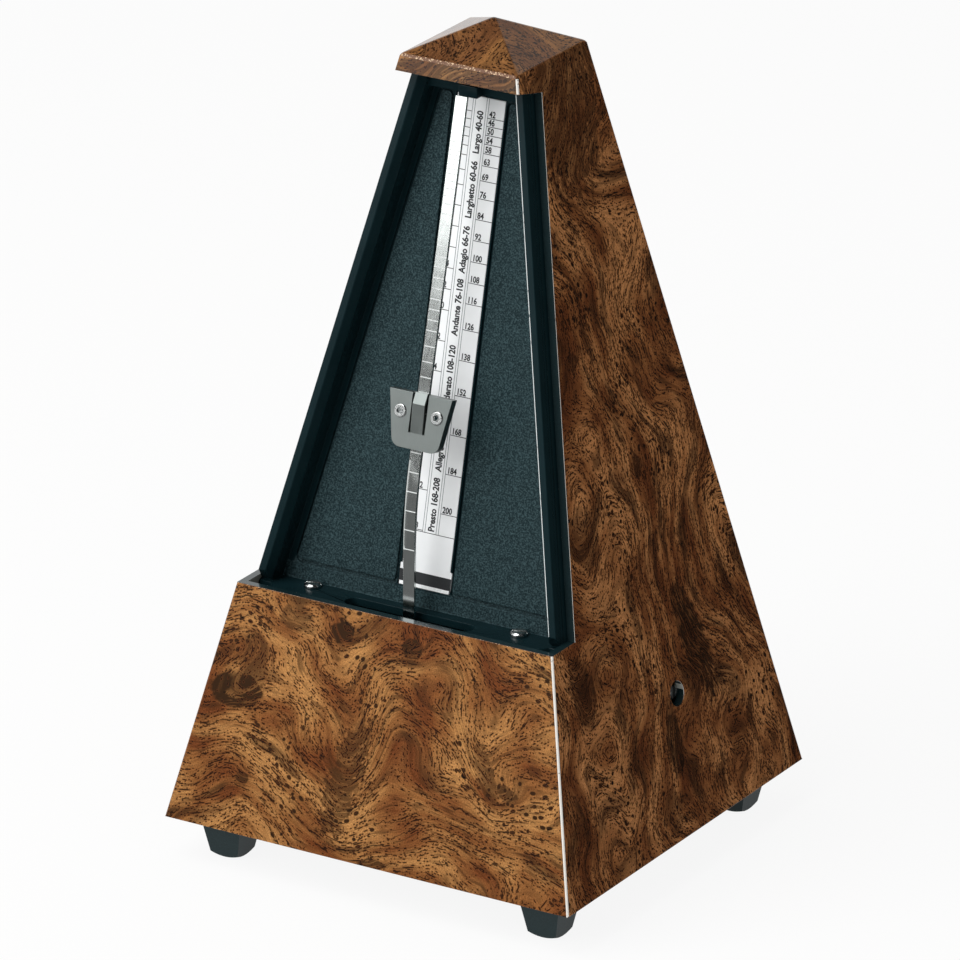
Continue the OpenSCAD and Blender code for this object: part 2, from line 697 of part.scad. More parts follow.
module rod_hub() {
    color("goldenrod") on_feet() difference() {
        along_y(rod_front + rod_t, 0, pivot_z) cylinder(h = hub_l, r = eye_r);
        along_y(rod_front, 0, pivot_z) cylinder(h = 3 * hub_l, r = verge_r + fixed_gap);
    }
}

module hub_nut() {
    color("silver") on_feet() difference() {
        along_y(rod_front - nut_l, 0, pivot_z) rotate(30) cylinder(h = nut_l, r = eye_r - 0.2, $fn = 6);
        along_y(rod_front - 2 * nut_l, 0, pivot_z) cylinder(h = 3 * nut_l, r = verge_r + fixed_gap);
    }
}

module verge_arbor() {
    front_end = rod_front - nut_l - 0.6;
    back_end = -escape_y + cock_in + cock_t + 0.6;
    collar = 0.8;
    color("silver") on_feet() {
        along_y(front_end, 0, pivot_z) cylinder(h = back_end - front_end, r = verge_r);
        for (y = [-escape_y - cock_in + 0.2, -escape_y + cock_in - 0.2 - collar])
            along_y(y, 0, pivot_z) cylinder(h = collar, r = verge_r + 0.7);
    }
}

// Pallet on the verge at y, raised by angle from the crown wheel's axis
module pallet(y, angle) {
    color("silver") on_feet() translate([0, y - pallet_w / 2, pivot_z]) difference() {
        union() {
            rotate([0, -angle, 0]) translate([0, 0, -pallet_t / 2]) cube([pallet_l, pallet_w, pallet_t]);
            along_y(0) cylinder(h = pallet_w, r = verge_r + 0.6);
        }
        along_y(-past) cylinder(h = pallet_w + 2 * past, r = verge_r + fixed_gap);
    }
}
module front_pallet() pallet(-escape_y - crown_r, pallet_angle);
module back_pallet() pallet(-escape_y + crown_r, -pallet_angle);

module bob() {
    z = pivot_z - bob_drop;
    color("dimgray") on_feet() difference() {
        along_y(bob_y0, 0, z) cylinder(h = bob_t, r = bob_r);
        translate([-rod_w / 2 - fixed_gap, rod_front - fixed_gap, rod_foot - fixed_gap])
            cube([rod_w + 2 * fixed_gap, rod_t + 2 * fixed_gap, 3 * bob_r]);
        along_y(bob_y0 - past, 0, z) cylinder(h = bob_t + 2 * past, r = rivet_r + fixed_gap);
    }
}

module bob_rivet() {
    color("silver") on_feet() {
        along_y(bob_y0, 0, pivot_z - bob_drop) cylinder(h = bob_t, r = rivet_r);
        for (y = [bob_y0 - rivet_head, bob_y0 + bob_t])
            along_y(y, 0, pivot_z - bob_drop) cylinder(h = rivet_head, r = 2 * rivet_r);
    }
}

// Sliding weight: x across, y up along the rod, and z out of the rod's front face
module on_rod() translate([0, rod_front + (weight_z - bend_z) * rod_run, weight_z])
    rotate([90 - rod_lean, 0, 0]) children();

function weight_outline() =
    let (a = weight_foot, b = weight_top, lo = -weight_down, hi = weight_up)
    concat([[b, hi], [-b, hi]], round_corner([-b, hi], [-a, lo], [a, lo], weight_r),
        round_corner([-a, lo], [a, lo], [b, hi], weight_r));

module weight_body() {
    z0 = -rod_t - fixed_gap - weight_back;
    color("gray") on_feet() on_rod() difference() {
        translate([0, 0, z0]) linear_extrude(weight_gap - z0) polygon(weight_outline());
        translate([-rod_w / 2 - fit_gap, -2 * weight_down, -rod_t - fixed_gap])
            cube([rod_w + 2 * fit_gap, 4 * weight_down, 2 * rod_t]);
        for (x = [-eyelet_x, eyelet_x]) translate([x, eyelet_v, z0]) {
            translate([0, 0, -past]) cylinder(h = 4 * rod_t, r = eyelet_r + fixed_gap);
            translate([0, 0, -past]) cylinder(h = past + eyelet_rim_t, r = eyelet_rim_r + fixed_gap);
        }
    }
}

module weight_plate() {
    root = weight_up - slit_l;
    bend = weight_up - tongue_tip;
    front = weight_gap + weight_plate_t;
    color("gray") on_feet() on_rod() {
        difference() {
            translate([0, 0, weight_gap]) linear_extrude(weight_plate_t) polygon(weight_outline());
            translate([-tongue_half - slit_w, root, 0])
                cube([2 * (tongue_half + slit_w), slit_l + past, 2 * front]);
            for (x = [-eyelet_x, eyelet_x]) translate([x, eyelet_v, 0])
                cylinder(h = 2 * front, r = eyelet_r + fixed_gap);
        }
        // tongue: bowed out over the rod and bent back at its tip
        translate([-tongue_half, 0, 0]) rotate([90, 0, 90]) linear_extrude(2 * tongue_half) polygon([
            [root - 0.2, weight_gap], [root - 0.2, front], [root, front], [bend, front + tongue_rise],
            [weight_up + 0.3, front - 0.25], [weight_up + 0.3, weight_gap],
            [bend, weight_gap + tongue_rise], [root, weight_gap]]);
    }
}

module weight_eyelets() {
    z0 = -rod_t - fixed_gap - weight_back;
    z1 = weight_gap + weight_plate_t;
    color("silver") on_feet() on_rod() for (x = [-eyelet_x, eyelet_x])
        translate([x, eyelet_v, 0]) difference() {
        union() {
            translate([0, 0, z0]) cylinder(h = z1 - z0, r = eyelet_r);
            translate([0, 0, z0]) cylinder(h = eyelet_rim_t, r = eyelet_rim_r);
            translate([0, 0, z1]) cylinder(h = eyelet_rim_t, r1 = eyelet_rim_r, r2 = eyelet_rim_r - 0.3);
        }
        translate([0, 0, z0 - past]) cylinder(h = 4 * front_room(), r = eyelet_hole_r);
    }
}
function front_room() = weight_gap + weight_plate_t + rod_t;

// Movement frame -----------------------------------------------------------------------

function plate_outline() = [[plate_y0, base_t], [plate_y1, base_t], [plate_y1, plate_z1 - plate_chamfer],
    [plate_y1 - plate_chamfer, plate_z1], [plate_y0 + plate_chamfer, plate_z1],
    [plate_y0, plate_z1 - plate_chamfer]];

// Movement plate with its foot on the side given by dir
module movement_plate(x, dir) {
    foot_x = dir < 0 ? x - plate_foot_w : x + plate_t;
    difference() {
        union() {
            along_x(x) linear_extrude(plate_t) polygon(plate_outline());
            translate([foot_x, (plate_y0 + plate_y1 - plate_foot_l) / 2, base_t])
                cube([plate_foot_w, plate_foot_l, plate_t]);
        }
        for (y = foot_hole_spots) translate([foot_x + plate_foot_w / 2, y, base_t + plate_t])
            screw_hole(2 * plate_t);
        for (p = pillar_spots) along_x(x - past, p)
            cylinder(h = plate_t + 2 * past, d = screw_d + 2 * fixed_gap);
        along_x(x - past, second) cylinder(h = plate_t + 2 * past, r = pivot_r + running_gap);
    }
}

module inner_plate() {
    color("goldenrod") on_feet() difference() {
        movement_plate(plate_x, -1);
        along_x(plate_x - past, winding) cylinder(h = 4 * past, r = arbor_pivot_r + bush_wall + fixed_gap);
        along_x(plate_x - past, escape) cylinder(h = 4 * past, r = wheel_arbor_r - 0.2 + running_gap);
        for (p = cock_screw_spots()) along_x(plate_x - past, p)
            cylinder(h = 4 * past, d = screw_d + 2 * fixed_gap);
    }
}

module outer_plate() {
    color("goldenrod") on_feet() difference() {
        movement_plate(outer_x, 1);
        along_x(outer_x - past, winding) cylinder(h = 4 * past, r = arbor_r + bush_wall + fixed_gap);
        along_x(outer_x - past, escape) cylinder(h = 4 * past, r = pivot_r + running_gap);
        along_x(outer_x - past, click_spot) cylinder(h = 4 * past, r = click_pin_r + fixed_gap);
        along_x(outer_x - past, spring_spot) cylinder(h = 4 * past, r = click_pin_r + fixed_gap);
    }
}

module pillars() {
    deep = 5;
    x0 = plate_x + plate_t;
    color("goldenrod") on_feet() for (p = pillar_spots) difference() {
        along_x(x0, p) cylinder(h = plate_gap, d = pillar_d);
        along_x(x0 - past, p) cylinder(h = deep + past, d = screw_d + 2 * fixed_gap);
        along_x(x0 + plate_gap - deep, p) cylinder(h = deep + past, d = screw_d + 2 * fixed_gap);
    }
}

module plate_screws() {
    color("silver") on_feet() for (p = pillar_spots) {
        translate([plate_x, p[0], p[1]]) rotate([0, -90, 0]) pan_screw(plate_t + 4);
        translate([outer_x + plate_t, p[0], p[1]]) rotate([0, 90, 0]) pan_screw(plate_t + 4);
    }
}

module movement_screws() {
    color("silver") on_feet() for (x = movement_foot_x(), y = foot_hole_spots)
        translate([x, y, base_t + plate_t]) pan_screw(plate_t + base_t - 0.5);
}

// Cock that carries the verge; dir is -1 for the front one
function cock_screw_spots() = [for (dir = [-1, 1])
    [-escape_y + dir * (cock_in - cock_foot_l / 2), pivot_z + cock_up + cock_foot_h / 2]];

module cock(dir) {
    y_arm = dir < 0 ? -escape_y - cock_in - cock_t : -escape_y + cock_in;
    y_foot = dir < 0 ? -escape_y - cock_in : -escape_y + cock_in - cock_foot_l;
    z_foot = pivot_z + cock_up;
    spot = cock_screw_spots()[dir < 0 ? 0 : 1];
    difference() {
        union() {
            // arm: upright beside the plate, then across to the verge
            translate([-cock_half, y_arm, pivot_z - cock_half])
                cube([plate_x + cock_half, cock_t, 2 * cock_half]);
            translate([plate_x - 5, y_arm, pivot_z]) cube([5, cock_t, cock_up + cock_foot_h]);
            translate([plate_x - cock_t, y_foot, z_foot]) cube([cock_t, cock_foot_l, cock_foot_h]);
        }
        along_y(y_arm - past, 0, pivot_z) cylinder(h = cock_t + 2 * past, r = verge_r + running_gap);
        along_x(plate_x - 2 * cock_t, spot) cylinder(h = 3 * cock_t, d = screw_d + 2 * fixed_gap);
    }
}
module front_cock() color("goldenrod") on_feet() cock(-1);
module back_cock() color("goldenrod") on_feet() cock(1);

module cock_screws() {
    color("silver") on_feet() for (p = cock_screw_spots())
        translate([plate_x - cock_t, p[0], p[1]]) rotate([0, -90, 0]) pan_screw(cock_t + plate_t - 0.1);
}

module bush(x, r) {
    difference() {
        along_x(x, winding) cylinder(h = plate_t, r = r + bush_wall);
        along_x(x - past, winding) cylinder(h = plate_t + 2 * past, r = r + running_gap);
    }
}
module arbor_bushes() {
    color("darkgoldenrod") on_feet() {
        bush(plate_x, arbor_pivot_r);
        bush(outer_x, arbor_r);
    }
}

// Toothed wheels -----------------------------------------------------------------------

// Involute angle at radius r for base radius rb, in degrees
function involute(rb, r) = r <= rb ? 0 : let (t = sqrt(r * r / (rb * rb) - 1)) t * 180 / PI - atan(t);

// Tooth outline of a wheel with n teeth, a tooth pointing at angle a0
module teeth(n, m, addendum, dedendum, a0) {
    pitch = n * m / 2;
    rb = pitch * cos(20);
    root = pitch - dedendum * m;
    tip = pitch + addendum * m;
    half = (PI * m / 2 - tooth_play) / 2 / pitch * 180 / PI + involute(rb, pitch);
    from = max(root, rb);
    flank = concat(root < rb ? [root] : [], [for (i = [0:3]) from + (tip - from) * i / 3]);
    k = len(flank);
    polygon([for (i = [0:n - 1], j = [0:2 * k - 1])
        let (r = j < k ? flank[j] : flank[2 * k - 1 - j], a = half - involute(rb, r),
            dir = a0 + 360 * i / n + (j < k ? -a : a))
        r * [cos(dir), sin(dir)]]);
}

great_line = atan2(second[1] - winding[1], second[0] - winding[0]);
second_line = atan2(escape[1] - second[1], escape[0] - second[0]);
wheel_addendum = 0.5;
wheel_dedendum = 1.25;
leaf_addendum = 1;
leaf_dedendum = 0.85;

module great_wheel() {
    seat_d = 0.8;
    color("goldenrod") on_feet() difference() {
        along_x(great_x, winding) linear_extrude(great_t)
            teeth(great_teeth, great_module, wheel_addendum, wheel_dedendum, great_line);
        along_x(great_x - past, winding) cylinder(h = great_t + 2 * past, r = arbor_r + running_gap);
        // seat of the barrel's rim
        along_x(great_x - past, winding) difference() {
            cylinder(h = past + seat_d, r = barrel_r + fixed_gap);
            cylinder(h = 3 * past, r = barrel_r - barrel_t - fixed_gap);
        }
    }
}

module barrel_drum() {
    seat_d = 0.8;
    color("goldenrod") on_feet() difference() {
        along_x(barrel_x, winding) cylinder(h = barrel_l + seat_d - fixed_gap, r = barrel_r);
        along_x(barrel_x + barrel_t, winding) cylinder(h = barrel_l + past, r = barrel_r - barrel_t);
        along_x(barrel_x - past, winding) cylinder(h = 3 * past, r = arbor_r + running_gap);
    }
}

// Mainspring: a spiral from the arbor's hook out to the barrel's wall
module mainspring() {
    r0 = arbor_r + 1.2;
    r1 = barrel_r - barrel_t - spring_t - fixed_gap;
    steps = 20 * spring_turns;
    function at(i, t) = let (r = r0 + (r1 - r0) * i / steps + t, a = 18 * i) r * [cos(a), sin(a)];
    edge = 0.5;
    color("steelblue") on_feet() along_x(barrel_x + barrel_t + edge, winding)
        linear_extrude(barrel_l - barrel_t - 2 * edge)
        polygon(concat([for (i = [0:steps]) at(i, 0)], [for (i = [steps:-1:0]) at(i, spring_t)]));
}

module winding_arbor() {
    x0 = plate_x - 0.8;
    x_shoulder = plate_x + plate_t + 0.3;
    x_square = outer_x + plate_t + 0.2;
    x_end = x_square + ratchet_t + 0.6;
    slot_d = 1.2;
    color("silver") on_feet() difference() {
        union() {
            along_x(x0, winding) cylinder(h = x_end - x0, r = arbor_pivot_r);
            along_x(x_shoulder, winding) cylinder(h = x_square - x_shoulder, r = arbor_r);
            along_x(x_square - 0.1, winding) linear_extrude(x_end - x_square + 0.1)
                square(arbor_square, center = true);
            along_x(x_end - 0.1, winding) rotate_extrude() let (l = key_end_x - x_end + 0.1)
                polygon([[0, 0], [key_end_r, 0], [key_end_r, l - key_end_chamfer],
                    [key_end_r - key_end_chamfer, l], [0, l]]);
            // hook that holds the mainspring's inner end
            translate([barrel_x + barrel_t + 3, arbor_y, arbor_z - 0.6])
                cube([barrel_l - 7, arbor_r + 0.8, 1.2]);
        }
        translate([key_end_x - slot_d, arbor_y - screw_slot_w / 2, arbor_z - 2 * key_end_r])
            cube([slot_d + past, screw_slot_w, 4 * key_end_r]);
    }
}

// Ratchet wheel with saw teeth
module ratchet_wheel() {
    step = 360 / ratchet_teeth;
    inner = ratchet_r - ratchet_tooth;
    color("silver") on_feet() difference() {
        along_x(click_x, winding) linear_extrude(ratchet_t)
            polygon([for (i = [0:ratchet_teeth - 1], k = [0, 1])
                let (a = step * (i + 0.12 * k), r = k == 0 ? inner : ratchet_r) r * [cos(a), sin(a)]]);
        along_x(click_x - past, winding) linear_extrude(ratchet_t + 2 * past)
            square(arbor_square + 2 * fixed_gap, center = true);
    }
}

// Click: its beak stands just clear of the ratchet's teeth
function beak() = winding + (ratchet_r + pass_gap) * [cos(75), sin(75)];
module click() {
    c = click_spot;
    b = beak();
    along = unit(b - c);
    side = [along[1], -along[0]];
    root = click_eye_r - 0.3;
    color("silver") on_feet() difference() {
        union() {
            along_x(click_x, c) cylinder(h = ratchet_t, r = click_eye_r);
            along_x(click_x, [0, 0]) linear_extrude(ratchet_t)
                polygon([c + side * root, c - side * root, b - side * 0.2, b + side * 1.6]);
        }
        along_x(click_x - past, c) cylinder(h = ratchet_t + 2 * past, r = click_pin_r + running_gap);
    }
}

// Click spring: a leaf from its own eye to just above the click
module click_spring() {
    e = spring_spot;
    tip = click_spot + [-2.6, click_eye_r + 0.5];
    color("steelblue") on_feet() difference() {
        union() {
            along_x(outer_x + plate_t, e) cylinder(h = 1.2, r = click_eye_r);
            along_x(outer_x + plate_t, [0, 0]) linear_extrude(1.2)
                polygon([e + [-1, -1], e + [-1, -1 + 2 * spring_leaf_t], tip + [0, spring_leaf_t], tip]);
        }
        along_x(outer_x, e) cylinder(h = 4 * plate_t, r = click_pin_r + fixed_gap);
    }
}

module click_screws() {
    head_r = 2.4;
    head_h = 0.9;
    color("silver") on_feet() {
        along_x(outer_x + 0.2, click_spot) cylinder(h = click_x + ratchet_t - outer_x, r = click_pin_r);
        along_x(click_x + ratchet_t + 0.2, click_spot) cylinder(h = head_h, r = head_r);
        along_x(outer_x + 0.2, spring_spot) cylinder(h = plate_t + 1, r = click_pin_r);
        along_x(outer_x + plate_t + 1.2, spring_spot) cylinder(h = head_h, r = head_r);
    }
}

// Arbor between the plates with a pivot at each end
module wheel_arbor(at, left_end) {
    x0 = plate_x + plate_t + 0.3;
    x1 = outer_x - 0.3;
    along_x(x0, at) cylinder(h = x1 - x0, r = wheel_arbor_r);
    along_x(left_end, at) cylinder(h = outer_x + plate_t + 0.3 - left_end, r = pivot_r);
}

module second_arbor() {
    leaf_l = great_t + 1.6;
    color("silver") on_feet() {
        wheel_arbor(second, plate_x - 0.3);
        along_x(great_x - 0.8, second) linear_extrude(leaf_l)
            teeth(second_leaves, great_module, leaf_addendum, leaf_dedendum,
                great_line + 180 + 180 / second_leaves);
    }
}

module second_wheel() {
    color("goldenrod") on_feet() difference() {
        along_x(second_x, second) linear_extrude(second_t)
            teeth(second_teeth, second_module, wheel_addendum, wheel_dedendum, second_line);
        along_x(second_x - past, second) cylinder(h = second_t + 2 * past, r = wheel_arbor_r + fixed_gap);
        for (i = [0:4]) along_x(second_x - past, second + 6.6 * [cos(72 * i), sin(72 * i)])
            cylinder(h = second_t + 2 * past, r = 2.4);
    }
}

module escape_arbor() {
    leaf_l = second_t + 1.2;
    seat_r = wheel_arbor_r - 0.2;
    color("silver") on_feet() {
        wheel_arbor(escape, plate_x);
        along_x(crown_x + crown_l - 2.4, escape)
            cylinder(h = plate_x + plate_t + 0.4 - crown_x - crown_l + 2.4, r = seat_r);
        along_x(second_x - 0.6, escape) linear_extrude(leaf_l)
            teeth(escape_leaves, second_module, leaf_addendum, leaf_dedendum,
                second_line + 180 + 180 / escape_leaves);
    }
}

// Crown wheel: a cup whose rim carries saw teeth towards the verge
module crown_wheel() {
    outer = crown_r + crown_ring_t / 2;
    inner = crown_r - crown_ring_t / 2;
    step = 360 / crown_teeth;
    pitch_w = 2 * PI * crown_r / crown_teeth;
    seat_r = wheel_arbor_r - 0.2;
    color("goldenrod") on_feet() difference() {
        along_x(crown_x, escape) cylinder(h = crown_l, r = outer);
        along_x(crown_x - past, escape) cylinder(h = crown_l + past - crown_disc_t, r = inner);
        along_x(crown_x - past, escape) cylinder(h = crown_l + 2 * past, r = seat_r + fixed_gap);
        // gaps between the teeth
        for (i = [0:crown_teeth - 1]) translate([crown_x, escape[0], escape[1]]) rotate([step * i, 0, 0])
            translate([0, 0, inner - 2 * crown_ring_t]) linear_extrude(5 * crown_ring_t)
            polygon([[-past, -0.32 * pitch_w], [-past, 0.5 * pitch_w], [0, 0.45 * pitch_w],
                [crown_tooth_h, -0.2 * pitch_w], [crown_tooth_h, -0.32 * pitch_w]]);
    }
}

casing();
base_plate();
foot_front_left();
foot_front_right();
foot_back_left();
foot_back_right();
base_screws();
face_frame();
scale_plate();
frame_screws();
pendulum_rod();
rod_hub();
hub_nut();
verge_arbor();
front_pallet();
back_pallet();
bob();
bob_rivet();
weight_plate();
weight_body();
weight_eyelets();
inner_plate();
outer_plate();
pillars();
plate_screws();
movement_screws();
front_cock();
back_cock();
cock_screws();
arbor_bushes();
barrel_drum();
great_wheel();
mainspring();
winding_arbor();
ratchet_wheel();
click();
click_spring();
click_screws();
second_arbor();
second_wheel();
escape_arbor();
crown_wheel();
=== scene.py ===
"""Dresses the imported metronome: burl film, black moulding, printed scale, steel rod and clockwork."""

import logging
from dataclasses import dataclass
from enum import Enum
from math import asin, atan, cos, pi, radians, sin, sqrt, tan
from typing import Any, NamedTuple

import bmesh
import bpy
from mathutils import Matrix, Vector


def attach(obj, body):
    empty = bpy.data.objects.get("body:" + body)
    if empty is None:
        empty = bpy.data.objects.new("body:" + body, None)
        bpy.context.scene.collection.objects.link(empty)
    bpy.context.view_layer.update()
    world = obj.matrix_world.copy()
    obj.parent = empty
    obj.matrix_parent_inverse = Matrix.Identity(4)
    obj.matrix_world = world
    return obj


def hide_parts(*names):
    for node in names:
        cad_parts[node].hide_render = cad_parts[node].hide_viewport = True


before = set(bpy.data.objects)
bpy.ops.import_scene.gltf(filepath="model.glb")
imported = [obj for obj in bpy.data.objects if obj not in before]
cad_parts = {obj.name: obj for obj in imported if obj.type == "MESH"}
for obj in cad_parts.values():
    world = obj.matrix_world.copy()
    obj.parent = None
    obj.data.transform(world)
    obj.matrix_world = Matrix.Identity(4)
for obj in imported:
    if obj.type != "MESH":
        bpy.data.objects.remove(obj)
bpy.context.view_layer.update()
LOG = logging.getLogger("metronome")
MM = 0.001
WHITE = (1, 1, 1, 1)
Tree = bpy.types.NodeTree
Node = bpy.types.Node
Socket = bpy.types.NodeSocket
Piece = bpy.types.Object


class Slot(Enum):
    """Material slot names of the record."""

    BURL = "burl"
    MOULDING = "black_plastic"
    RUBBER = "rubber"
    PRINT = "printed_aluminium"
    STEEL = "steel"
    BRIGHT = "bright_steel"
    SATIN = "satin_steel"


class Side(Enum):
    """The casing's outer faces, each with the direction that it looks in."""

    FRONT = (0, -1)
    RIGHT = (1, 0)
    BACK = (0, 1)
    LEFT = (-1, 0)


# Node helpers --------------------------------------------------------------------------


def linear(code: str) -> tuple[float, float, float, float]:
    """Turns an sRGB hex colour into the linear colour that a shader takes.

    Args:
        code: Six hex digits with a leading hash.

    Returns:
        Linear red, green, blue and an alpha of 1.
    """
    parts = [int(code[i : i + 2], 16) / 255 for i in (1, 3, 5)]
    r, g, b = (p / 12.92 if p <= 0.04045 else ((p + 0.055) / 1.055) ** 2.4 for p in parts)
    return (r, g, b, 1.0)


def feed(tree: Tree, node: Node, links: dict[Any, Any]) -> None:
    """Gives a node's inputs their values and links.

    Args:
        tree: Node tree that holds the node.
        node: Node that is fed.
        links: Input name or number to a value, a node (its first output) or a socket.
    """
    for key, value in links.items():
        if isinstance(value, Node):
            value = value.outputs[0]
        if isinstance(value, Socket):
            tree.links.new(value, node.inputs[key])
        else:
            node.inputs[key].default_value = value


def put(tree: Tree, kind: str, links: dict[Any, Any] | None = None, **settings: Any) -> Node:
    """Adds a node with its settings, values and links.

    Args:
        tree: Node tree that gets the node.
        kind: Blender's name of the node type.
        links: Inputs, as feed takes them.
        **settings: Properties of the node; ramp is a list of (place, hex colour).

    Returns:
        The new node.
    """
    node = tree.nodes.new(kind)
    for place, code in settings.pop("ramp", []):
        stops = node.color_ramp.elements
        stop = stops[0] if place == 0 else stops[-1] if place == 1 else stops.new(place)
        stop.position = place
        stop.color = linear(code)
    for key, value in settings.items():
        setattr(node, key, value)
    feed(tree, node, links or {})
    return node


def blank(holder: bpy.types.Material | bpy.types.World) -> Tree:
    """Gives a new material or world an empty node tree.

    Args:
        holder: Material or world.

    Returns:
        Its node tree.
    """
    holder.use_nodes = True
    holder.node_tree.nodes.clear()
    return holder.node_tree


def maths(tree: Tree, operation: str, *values: Any) -> Node:
    """Adds a math node with its values in order."""
    return put(tree, "ShaderNodeMath", dict(enumerate(values)), operation=operation)


def vectors(tree: Tree, operation: str, *values: Any) -> Node:
    """Adds a vector math node with its values in order."""
    return put(tree, "ShaderNodeVectorMath", dict(enumerate(values)), operation=operation)


def measure(tree: Tree, operation: str, *values: Any) -> Socket:
    """Adds a vector math node whose result is a number."""
    return vectors(tree, operation, *values).outputs["Value"]


def scale(tree: Tree, place: Any, factor: Any) -> Node:
    """Scales a vector by a number."""
    return put(tree, "ShaderNodeVectorMath", {0: place, 3: factor}, operation="SCALE")


def noise(tree: Tree, place: Any, size: float, detail: float, flat: bool = False) -> Node:
    """Adds a noise texture.

    Args:
        tree: Node tree that gets the node.
        place: Where the noise is read.
        size: Size of its features, in the unit of the place.
        detail: How many finer layers it has.
        flat: Reads the noise in two dimensions.

    Returns:
        The noise node.
    """
    return put(tree, "ShaderNodeTexNoise", {"Vector": place, "Scale": 1 / size, "Detail": detail},
               noise_dimensions="2D" if flat else "3D")


def ranged(tree: Tree, value: Any, source: tuple[float, float], target: tuple[float, float] = (0.0, 1.0),
           smooth: bool = False) -> Node:
    """Maps one range of a value to another.

    Args:
        tree: Node tree that gets the node.
        value: Value that is mapped.
        source: Range of the value.
        target: Range of the result.
        smooth: Eases both ends.

    Returns:
        The node with the result.
    """
    return put(tree, "ShaderNodeMapRange", {"Value": value, "From Min": source[0], "From Max": source[1],
                                            "To Min": target[0], "To Max": target[1]},
               interpolation_type="SMOOTHSTEP" if smooth else "LINEAR")


def blend(tree: Tree, share: Any, first: Any, second: Any, how: str = "MIX") -> Socket:
    """Mixes two colours."""
    return put(tree, "ShaderNodeMix", {"Factor": share, 6: first, 7: second}, data_type="RGBA",
               blend_type=how).outputs[2]


def tinted(tree: Tree, colour: Any, tone: Any) -> Socket:
    """Multiplies a colour by a tone."""
    return blend(tree, 1.0, colour, tone, "MULTIPLY")


def bump(tree: Tree, height: Any, strength: Any, depth_mm: float) -> Node:
    """Adds a bump of a depth in millimetres."""
    return put(tree, "ShaderNodeBump", {"Height": height, "Strength": strength, "Distance": depth_mm * MM})


def object_place(tree: Tree) -> Socket:
    """Adds the piece's own coordinates."""
    return put(tree, "ShaderNodeTexCoord").outputs["Object"]


# Finishes ------------------------------------------------------------------------------


@dataclass(frozen=True)
class Finish:
    """A real material as its maker left it."""

    name: str

    def fill(self, tree: Tree, shader: Node) -> None:
        """Wires the finish into the shader."""

    def material(self) -> bpy.types.Material:
        """Builds the material once and returns it from then on."""
        if self.name not in bpy.data.materials:
            tree = blank(bpy.data.materials.new(self.name))
            shader = put(tree, "ShaderNodeBsdfPrincipled")
            put(tree, "ShaderNodeOutputMaterial", {"Surface": shader})
            self.fill(tree, shader)
        return bpy.data.materials[self.name]


@dataclass(frozen=True)
class Knot:
    """A knot or dark cloud of the printed burl, or a wide cloud of painted shade, in millimetres and degrees
    on its face.
    """

    across: float
    up: float
    half_w: float
    half_h: float
    dark: float = 0.8
    turn: float = 0.0
    swirl: float = 3.0
    ragged: float = 0.6

    def reach(self, tree: Tree, spot: Any) -> Socket:
        """Adds the nodes that give the distance from the knot's middle, where 1 is its edge.

        Args:
            tree: Node tree that gets the nodes.
            spot: Place on the face in millimetres.

        Returns:
            Socket with the distance.
        """
        away = vectors(tree, "SUBTRACT", spot, (self.across, self.up, 0))
        if self.turn:
            away = put(tree, "ShaderNodeVectorRotate", {"Vector": away, "Angle": radians(-self.turn)},
                       rotation_type="Z_AXIS")
        away = vectors(tree, "MULTIPLY", away, (1 / self.half_w, 1 / self.half_h, 0))
        return measure(tree, "LENGTH", away)


class Streak(NamedTuple):
    """Noise drawn out along the grain; sizes in millimetres."""

    across: float
    length: float
    detail: float
    shift: float


class Dashes(NamedTuple):
    """A layer of dashes; sizes in millimetres, and the share of its cells that holds one."""

    spacing: float
    half_l: float
    half_w: float
    share: float
    patch: float


CLOUDS = Streak(8.0, 24.0, 3.0, 1.3)
FIBRES = Streak(0.45, 4.0, 2.0, 4.1)
SHADES = Streak(6.5, 20.0, 2.0, 21.0)
THREADS = Streak(1.1, 7.0, 1.0, 31.0)
GLEAMS = Streak(0.8, 5.0, 1.0, 51.0)
BREAKS = Streak(3.0, 4.5, 1.0, 71.0)
PORES = (Dashes(0.9, 0.24, 0.14, 0.5, 0.35), Dashes(1.35, 0.6, 0.15, 0.36, 0.35),
         Dashes(3.0, 1.5, 0.16, 0.28, 0.3))
EYES = Dashes(2.6, 0.62, 0.5, 0.65, 0.0)
CONTOUR_GAP = 4.2
LEVEL = (1, 1, 0)


